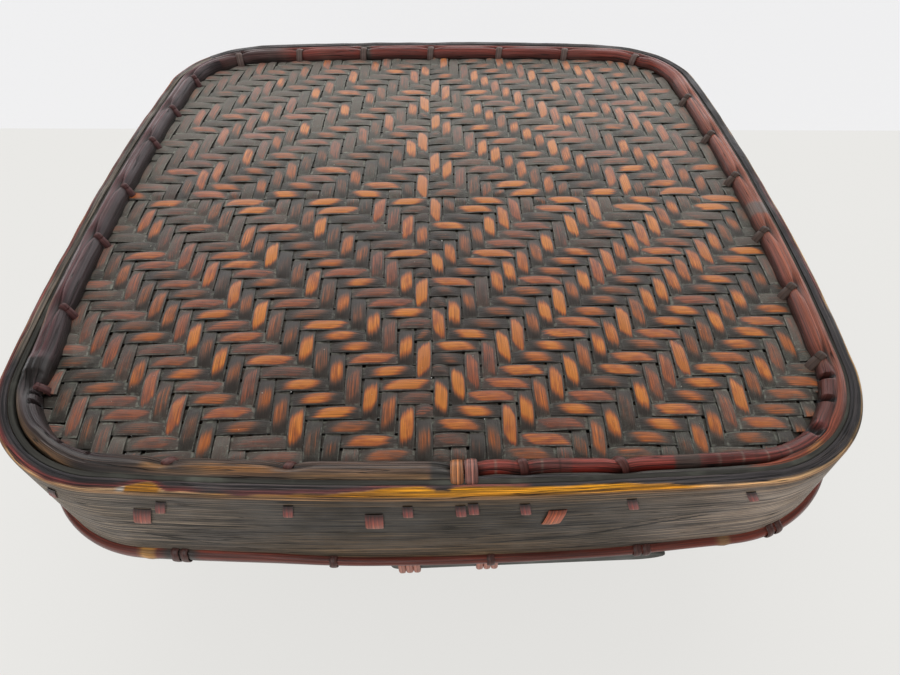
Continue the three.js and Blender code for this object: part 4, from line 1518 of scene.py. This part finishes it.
# Where the wall's weave starts, how far below the collar's top it ends, and how it waves, in millimetres
WALL_BOTTOM = 2.2
WALL_TOP_GAP = 0.4
WALL_WAVE, WALL_CROWN = 0.38, 0.24


def wall_places(height, depth):
    """Places on the wall's face for all stations round it, at heights and at depths below the face"""
    lid, _, body, _ = settings()
    lid_rim = lid_plan(*WALL_STEPS)
    foot_rim = foot_plan(*WALL_STEPS)
    wall_inset = lid.band_thickness + COLLAR_GAP + body.collar_thickness + HOOP_GAP
    shoulder = body.seat_height - 12 * MM
    share = np.clip((height - body.foot_hoop_height) / (shoulder - body.foot_hoop_height), 0, 1)
    swell = share + 0.5 * share * (1 - share)
    foot = foot_rim.place[:, None] - foot_rim.out[:, None] * depth[None, :, None]
    neck = lid_rim.place[:, None] - lid_rim.out[:, None] * (wall_inset + depth)[None, :, None]
    flat = foot + (neck - foot) * swell[None, :, None]
    heights = np.broadcast_to(height[None, :, None], (*flat.shape[:2], 1))
    return np.concatenate([flat, heights], axis=2)


def wall_face(height):
    """Places on the wall's outside at each height, and the way inwards from them"""
    face = wall_places(height, np.zeros(len(height)))
    return face, (wall_places(height, np.full(len(height), 1 * MM)) - face) / MM


def plain_wear(random, count, tone):
    """Wear of a strip that has only been handled a little"""
    luck = random.random((count, 2))
    strength = tone * (0.5 + 0.6 * luck[:, 0])
    return np.stack([strength, luck[:, 1], np.full(count, 0.4), np.ones(count)], -1)


class WallWeave:
    """How the wall's weave is set out: its upright staves, its rows, and where each is on top"""

    def __init__(self):
        body = settings()[2]
        self.stations = lid_plan(*WALL_STEPS).count
        self.staves = self.stations // STATIONS_PER_STAVE
        self.stave_pitch = foot_plan(*WALL_STEPS).run[-1] / self.staves
        self.low = WALL_BOTTOM * MM
        high = body.seat_height + body.neck_rise - WALL_TOP_GAP * MM
        self.pitch = (high - self.low) / WALL_ROWS
        self.depth = body.wall_thickness / 2 - 0.2 * MM
        self.twill = (np.arange(self.staves)[None, :] + np.arange(WALL_ROWS)[:, None]) % 6 < 3

    def depths(self, floats):
        """How deep below the wall's outside a strip's face lies, for points along and across"""
        return self.depth - floats.height(WALL_WAVE * MM, WALL_CROWN * MM)

    def around(self, random):
        """The rows round the wall: each is woven three times round, and the middle time is kept"""
        first = self.staves * STATIONS_PER_STAVE
        last = first + self.stations + 1
        index = np.arange(self.stations + 1) % self.stations
        strips = []
        for row in range(WALL_ROWS):
            wears = np.tile(plain_wear(random, self.staves, 0.3 + 0.5 * random.random()), (3, 1))
            floats = Floats(np.tile(self.twill[row], 3), wears, 0 * wears[:, 0])
            face, inwards = wall_face(self.low + (row + 0.5 + CROSS * HALF_STRIP) * self.pitch)
            places = face[index] + inwards[index] * self.depths(floats)[first:last, :, None]
            run = floats.number[first:last] * self.stave_pitch
            offset = CROSS * HALF_STRIP * self.pitch
            strips.append(ribbon(places, run, offset, floats.part(first, last), row * 0.051))
        piece = join(strips, "wall_strips_around")
        recalculate(piece)
        return piece

    def upright(self, random):
        """The staves, which run up the wall and lean outwards with it"""
        height = self.low + np.arange(4 * WALL_ROWS + 1) * self.pitch / 4
        face, inwards = wall_face(height)
        strips = []
        for number in range(self.staves):
            wears = plain_wear(random, WALL_ROWS, 0.3 + 0.5 * random.random())
            floats = Floats(~self.twill[:, number], wears, 0 * wears[:, 0])
            station = (number + 0.5 + CROSS * HALF_STRIP) * STATIONS_PER_STAVE
            before = np.floor(station).astype(int) % self.stations
            after = (before + 1) % self.stations
            share = (station - np.floor(station))[:, None, None]
            flat = face[before] * (1 - share) + face[after] * share
            places = (flat + inwards[before] * self.depths(floats).T[..., None]).transpose(1, 0, 2)
            offset = CROSS * HALF_STRIP * self.stave_pitch
            strips.append(ribbon(places, height, offset, floats.part(0, len(height)), number * 0.0317))
        piece = join(strips, "wall_strips_upright")
        piece.data.flip_normals()
        return piece


class BuildWall(Operator):
    """Weaves the wall of the body from upright strips and hoops of strip"""
    bl_idname = "rice_basket.wall"
    bl_label = "Wall"

    def execute(self, context):
        _, weave, _, finish = settings()
        random = np.random.default_rng(11)
        outside = worn_strips("wall_strips", 0.62)
        inside = grained("wall_undersides", finish.pith, 0.7, dust=0.3)
        wall = WallWeave()
        for piece in (wall.around(random), wall.upright(random)):
            keep_woven(piece, "body", "body_wall", weave.strip_thickness, outside, inside)
        return {"FINISHED"}


# The floor's strips each way, and their measures, in millimetres
FLOOR_STRIPS = 26
FLOOR_PITCH = 7.8
FLOOR_DEPTH = 3.2
FLOOR_INSET = 3.4
FLOOR_STRIP_THICKNESS = 0.6
FLOOR_WAVE, FLOOR_CROWN = 0.42, 0.2


def floor_strip(plan, floats, number, line, is_across):
    """One strip of the floor that ends under the floor hoop; line is its place, counted in strips"""
    pitch = FLOOR_PITCH * MM
    middle_height = settings()[2].foot_hoop_height - FLOOR_DEPTH * MM
    height = middle_height + floats.height(FLOOR_WAVE * MM, FLOOR_CROWN * MM)
    going = (floats.number - FLOOR_STRIPS / 2) * pitch
    reach = plan.reach(FLOOR_INSET * MM, line * pitch)
    inside = np.flatnonzero(np.abs(going) < reach + pitch / 4)
    low, high = inside[0], inside[-1] + 1
    going = np.broadcast_to(np.clip(going, -reach, reach)[:, None], height.shape)
    aside = np.broadcast_to((line + CROSS * HALF_STRIP) * pitch, height.shape)
    order = [going, aside, height] if is_across else [aside, going, height]
    places = np.stack(order, -1)[low:high]
    run = (floats.number * pitch)[low:high]
    offset = CROSS * HALF_STRIP * pitch
    strip = ribbon(places, run, offset, floats.part(low, high), number * 0.043)
    if not is_across:
        strip.data.flip_normals()
    return strip


class BuildFloor(Operator):
    """Weaves the floor of the body"""
    bl_idname = "rice_basket.floor"
    bl_label = "Floor"

    def execute(self, context):
        random = np.random.default_rng(23)
        plan = foot_plan()
        count = FLOOR_STRIPS
        lines = np.arange(count) - count / 2 + 0.5
        twill = (np.arange(count)[:, None] + np.arange(count)[None, :]) % 4 < 2
        top = worn_strips("floor_strips", 0.35)
        for direction, on_top in (("across", twill), ("along", ~twill.T)):
            strips = []
            for number, line in enumerate(lines):
                floats = Floats(on_top[number], plain_wear(random, count, 0.8), np.zeros(count))
                strips.append(floor_strip(plan, floats, number, line, direction == "across"))
            piece = join(strips, f"floor_strips_{direction}")
            keep_woven(piece, "body", "body_floor", FLOOR_STRIP_THICKNESS * MM, top)
        return {"FINISHED"}


class BuildBodyHoops(Operator):
    """Bends the collar and the hoops of the body"""
    bl_idname = "rice_basket.body_hoops"
    bl_label = "Body hoops"

    def execute(self, context):
        lid, _, body, finish = settings()
        rim = lid_plan(80, 27)
        foot = foot_plan(70, 30)
        seat = body.seat_height
        top = seat + body.neck_rise
        collar = lid.band_thickness + COLLAR_GAP
        neck = collar + body.collar_thickness + HOOP_GAP + body.wall_thickness + HOOP_GAP
        dark = grained("collar_bamboo", finish.band, 0.5, 1.4, 0.15, cracks=0.6)
        plain = grained("plain_hoops", finish.pith, 0.6, 1.2, 0.3)
        red = grained("seat_bamboo", finish.maroon, 0.4, 1.0, 0.12, coat=0.1)
        collar_end = collar + body.collar_thickness
        pieces = (
            ("collar_strip", "body_collar", rim, dark, "dark_bamboo",
             (collar, collar_end, seat - body.collar_drop, top, 0.9 * MM)),
            ("neck_strip", "body_neck_hoop", rim, plain, "plain_bamboo",
             (neck, neck + 2.8 * MM, top - 15 * MM, top, 0.8 * MM)),
            ("seat_cane", "body_seat_hoop", rim, red, "red_bamboo",
             (collar - 3.5 * MM, collar - HOOP_GAP, seat - 4.3 * MM, seat, 1.2 * MM)),
            ("foot_strip", "foot_hoop", foot, dark, "dark_bamboo",
             (-4 * MM, -HOOP_GAP, 0, body.foot_hoop_height, 1.1 * MM)),
            ("floor_hoop_strip", "floor_hoop", foot, plain, "plain_bamboo",
             (3 * MM, 6.2 * MM, 0, 8 * MM, 0.8 * MM)),
        )
        for name, replaced, plan, material, slot, sizes in pieces:
            inset, height = rounded(*sizes)
            piece = hoop(name, plan, inset, height, on_lid_body=False)
            piece.data.materials.append(material)
            keep(piece, "body", slot, replaced)
        return {"FINISHED"}


# Splice board on the front of the collar, in millimetres; its right end is drawn out by the taper
BOARD_MIDDLE = 31.8
BOARD_LENGTH = 99
BOARD_BOTTOM, BOARD_TOP = 91.2, 98.2
BOARD_RADIUS = 3.45
BOARD_THICKNESS = 2.8
BOARD_TAPER = 3.4
BOARD_DROP = 2.4
# One turn of a lashing, in millimetres: how far out and how high its points lie
TURN_OUTS = (-4.6, -3.4, -2.2, -1.75, -1.7, -1.7, -1.7, -1.75, -2.2, -3.4, -4.6)
TURN_HEIGHTS = (98.3, 98.35, 98.3, 98.0, 97, 94.7, 92.4, 91.4, 91.1, 91.05, 91.1)
LASHINGS = {"left": -11, "right": 16.7}
LASHING_TURNS = (-2.65, 0, 2.65)


class BuildSplice(Operator):
    """Shapes the splice board on the front of the collar and winds its lashings"""
    bl_idname = "rice_basket.splice"
    bl_label = "Splice board"

    def execute(self, context):
        finish = settings()[3]
        place, away = lid_plan().at("front", BOARD_MIDDLE * MM)
        across = flat_across(away)
        way = across[:2]
        bare()
        bpy.ops.mesh.primitive_cylinder_add(
            vertices=40, radius=BOARD_RADIUS * MM, depth=BOARD_THICKNESS * MM
        )
        piece = bpy.context.object
        piece.name = "splice_board"
        half_length, half_height = BOARD_LENGTH / 2 * MM, (BOARD_TOP - BOARD_BOTTOM) / 2 * MM
        for vertex in piece.data.vertices:
            x, y, z = vertex.co
            drawn_out = BOARD_TAPER if x > 0 else 1
            end = half_length - drawn_out * BOARD_RADIUS * MM
            along = x * drawn_out + (end if x > 0 else -end)
            flat = place + away * (z - 3.4 * MM) + way * along
            drop = BOARD_DROP * MM * smooth(-50 * MM, 50 * MM, along)
            height = (BOARD_BOTTOM + BOARD_TOP) / 2 * MM + y / (BOARD_RADIUS * MM) * half_height
            vertex.co = (flat[0], flat[1], height - drop)
        recalculate(piece)
        use(piece, "BEVEL", width=0.7 * MM, segments=3, limit_method="ANGLE", angle_limit=0.9)
        piece.data.materials.append(grained("black_bamboo", finish.black, 0.5, 1.0, 0.15, way="across"))
        keep(piece, "body", "black_bamboo", "body_splice_board")
        rattan = grained("lashing_rattan", screen(176, 116, 100), 0.45, 0.8, 0.1)
        for name, along in LASHINGS.items():
            straps = []
            for turn in LASHING_TURNS:
                aside = way * (along + turn - BOARD_MIDDLE) * MM
                path = np.array([
                    (*(place + away * out * MM + aside), height * MM)
                    for out, height in zip(TURN_OUTS, TURN_HEIGHTS)
                ])
                straps.append(strap(path, drawn_ups(path, across, away), across, 1.9 * MM, 0.8 * MM))
            made = f"splice_rattan_{name}"
            keep_rattan(join(straps, made), made, rattan, "body", f"splice_lashing_{name}")
        return {"FINISHED"}


class FinishFrame(Operator):
    """Gives the hoop, braces and battens that come from the model their finish"""
    bl_idname = "rice_basket.frame_finish"
    bl_label = "Hoop, braces and battens"

    def execute(self, context):
        finish = settings()[3]
        along = grained("brace_bamboo", finish.pith, 0.6, 1.2, 0.3, way="along")
        across = grained("batten_bamboo", finish.pith, 0.6, 1.2, 0.3, way="across")
        chosen = {
            "lid_hoop": across, "lid_brace_left": along, "lid_brace_middle": along,
            "lid_brace_right": along, "floor_batten_front": across, "floor_batten_back": across,
        }
        for name, material in chosen.items():
            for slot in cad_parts[name].material_slots:
                slot.material = material
        return {"FINISHED"}


# Floor, backdrop, lights and camera


STAGE_SIZE = 8
GROUND_LEVEL = -0.5 * MM
GROUND_SHADE, GROUND_GLOW = screen(226, 225, 222), screen(240, 239, 236)
BACKDROP_SHADE, BACKDROP_GLOW = screen(236, 236, 238), screen(250, 250, 251)
BACKDROP_MIRRORED = 2.6
BACKDROP_PLACE = (0, 0.3037, 0.299)
BACKDROP_TURN = math.radians(-3.66)
BACKDROP_HEIGHT_SHARE = 0.075
# Name, place, turn, power, and whether the lamp shows in what shines
LAMPS = (
    ("soft_box_top", (0.05, 0.42, 1.25), (-0.34, 0, 0), 5.6, False),
    ("soft_box_front", (-0.5, -1.1, 1.15), (0.78, 0.0, -0.42), 4.4, True),
)
LAMP_SIZE = 1.0
# Camera, as fitted to the lid's outline in the photo
CAMERA_LENS = 24.828
CAMERA_PLACE = (0.007738, -0.232881, 0.314673)
CAMERA_RIGHT = (0.99955024, -0.01580214, -0.02548736)
CAMERA_UP = (0.02865013, 0.75426846, 0.65594074)
CAMERA_BACK = (0.00885904, -0.65637594, 0.75438196)


def backdrop_finish(name, diffuse, seen, mirrored=1.0, one_sided=False):
    """A plain surface that looks pale to the camera and still takes a soft shadow"""
    material, tree, shader = new_finish(name, 0.9, 0.1)
    shader.inputs["Base Color"].default_value = (*diffuse, 1)
    path = node(tree, "LightPath")
    shown = maths(tree, "MAXIMUM", path.outputs["Is Camera Ray"], path.outputs["Is Glossy Ray"])
    power = maths(tree, "MULTIPLY_ADD", path.outputs["Is Glossy Ray"], mirrored - 1, 1.0)
    glow = node(tree, "Emission", {"Color": (*seen, 1), "Strength": power})
    share = maths(tree, "MULTIPLY", shown, 0.8)
    mixed = node(tree, "MixShader", {0: share, 1: shader.outputs[0], 2: glow.outputs[0]})
    if one_sided:
        backing = node(tree, "NewGeometry").outputs["Backfacing"]
        clear = node(tree, "BsdfTransparent")
        mixed = node(tree, "MixShader", {0: backing, 1: mixed.outputs[0], 2: clear.outputs[0]})
    tree.links.new(mixed.outputs[0], tree.nodes["Material Output"].inputs["Surface"])
    return material


def lay_ground():
    """Lays the pale ground that the basket stands on"""
    bare()
    bpy.ops.mesh.primitive_plane_add(size=STAGE_SIZE, location=(0, 0, GROUND_LEVEL))
    ground = bpy.context.object
    ground.name = "floor"
    ground.data.materials.append(backdrop_finish("pale_floor", GROUND_SHADE, GROUND_GLOW))


def hang_backdrop():
    """Hangs the pale backdrop behind the basket; seen from behind it is clear"""
    bare()
    bpy.ops.mesh.primitive_plane_add(
        size=STAGE_SIZE, location=BACKDROP_PLACE, rotation=(QUARTER_TURN, 0, BACKDROP_TURN)
    )
    bpy.ops.object.mode_set(mode="EDIT")
    bpy.ops.transform.resize(value=(1, 1, BACKDROP_HEIGHT_SHARE), center_override=BACKDROP_PLACE)
    bpy.ops.object.mode_set(mode="OBJECT")
    wall = bpy.context.object
    wall.name = "backdrop"
    pale = backdrop_finish("pale_wall", BACKDROP_SHADE, BACKDROP_GLOW, BACKDROP_MIRRORED, one_sided=True)
    wall.data.materials.append(pale)
    wall.visible_diffuse = False
    wall.visible_shadow = False


def light_room(scene):
    """Even light from all round, brighter to the camera and weaker where it is mirrored"""
    world = scene.world or bpy.data.worlds.new("soft_room")
    scene.world = world
    world.use_nodes = True
    tree = world.node_tree
    background = tree.nodes["Background"]
    background.inputs["Color"].default_value = (1, 1, 1, 1)
    path = node(tree, "LightPath")
    strength = maths(tree, "MULTIPLY_ADD", path.outputs["Is Camera Ray"], 0.36, 0.5)
    strength = maths(tree, "MULTIPLY_ADD", path.outputs["Is Glossy Ray"], -0.3, strength)
    tree.links.new(strength, background.inputs["Strength"])


def hang_lamps(scene):
    """Hangs the soft boxes over the basket and in front of it"""
    for name, place, turn, power, mirrored in LAMPS:
        light = bpy.data.lights.new(name, "AREA")
        light.energy = power
        light.size = LAMP_SIZE
        lamp = bpy.data.objects.new(name, light)
        lamp.location = place
        lamp.rotation_euler = turn
        lamp.visible_glossy = mirrored
        scene.collection.objects.link(lamp)


def set_camera(scene):
    """Sets the camera where the photo was taken from"""
    camera_data = bpy.data.cameras.new("camera")
    camera_data.lens = CAMERA_LENS
    camera_data.sensor_width = 36
    camera_data.clip_start = 0.01
    camera = bpy.data.objects.new("camera", camera_data)
    scene.collection.objects.link(camera)
    turn = Matrix((CAMERA_RIGHT, CAMERA_UP, CAMERA_BACK)).transposed().to_4x4()
    camera.matrix_world = Matrix.Translation(CAMERA_PLACE) @ turn
    scene.camera = camera


class BuildStage(Operator):
    """Lays the floor and backdrop and sets the lights and the camera"""
    bl_idname = "rice_basket.stage"
    bl_label = "Floor, lights and camera"

    def execute(self, context):
        lay_ground()
        hang_backdrop()
        light_room(context.scene)
        hang_lamps(context.scene)
        set_camera(context.scene)
        context.scene.view_settings.view_transform = "Standard"
        return {"FINISHED"}


# Panel and registration

BUILDERS = (
    BuildStage, BuildLidPanel, BuildLidBand, BuildRim, BuildMoulding, BuildTies, BuildStitches,
    BuildWraps, BuildWall, BuildFloor, BuildBodyHoops, BuildSplice, FinishFrame,
)


class BasketPanel(Panel):
    """Lists the sizes and the steps of the rice basket"""
    bl_idname = "VIEW3D_PT_rice_basket"
    bl_label = "Rice basket"
    bl_space_type = "VIEW_3D"
    bl_region_type = "UI"
    bl_category = "Rice basket"

    def draw(self, context):
        for name, group in GROUPS.items():
            box = self.layout.box()
            box.label(text=group.__doc__)
            for field in group.__annotations__:
                box.prop(getattr(context.scene, name), field)
        for builder in BUILDERS:
            self.layout.operator(builder.bl_idname)


def register():
    for group in GROUPS.values():
        bpy.utils.register_class(group)
    for name, group in GROUPS.items():
        setattr(bpy.types.Scene, name, PointerProperty(type=group))
    for builder in BUILDERS:
        bpy.utils.register_class(builder)
    bpy.utils.register_class(BasketPanel)


def unregister():
    bpy.utils.unregister_class(BasketPanel)
    for builder in reversed(BUILDERS):
        bpy.utils.unregister_class(builder)
    for name in GROUPS:
        delattr(bpy.types.Scene, name)
    for group in reversed(GROUPS.values()):
        bpy.utils.unregister_class(group)


def main():
    register()
    bpy.ops.rice_basket.stage()
    bpy.ops.rice_basket.lid_panel()
    bpy.ops.rice_basket.lid_band()
    bpy.ops.rice_basket.rim()
    bpy.ops.rice_basket.moulding()
    bpy.ops.rice_basket.ties()
    bpy.ops.rice_basket.stitches()
    bpy.ops.rice_basket.wraps()
    bpy.ops.rice_basket.wall()
    bpy.ops.rice_basket.floor()
    bpy.ops.rice_basket.body_hoops()
    bpy.ops.rice_basket.splice()
    bpy.ops.rice_basket.frame_finish()


if __name__ == "__main__":
    main()
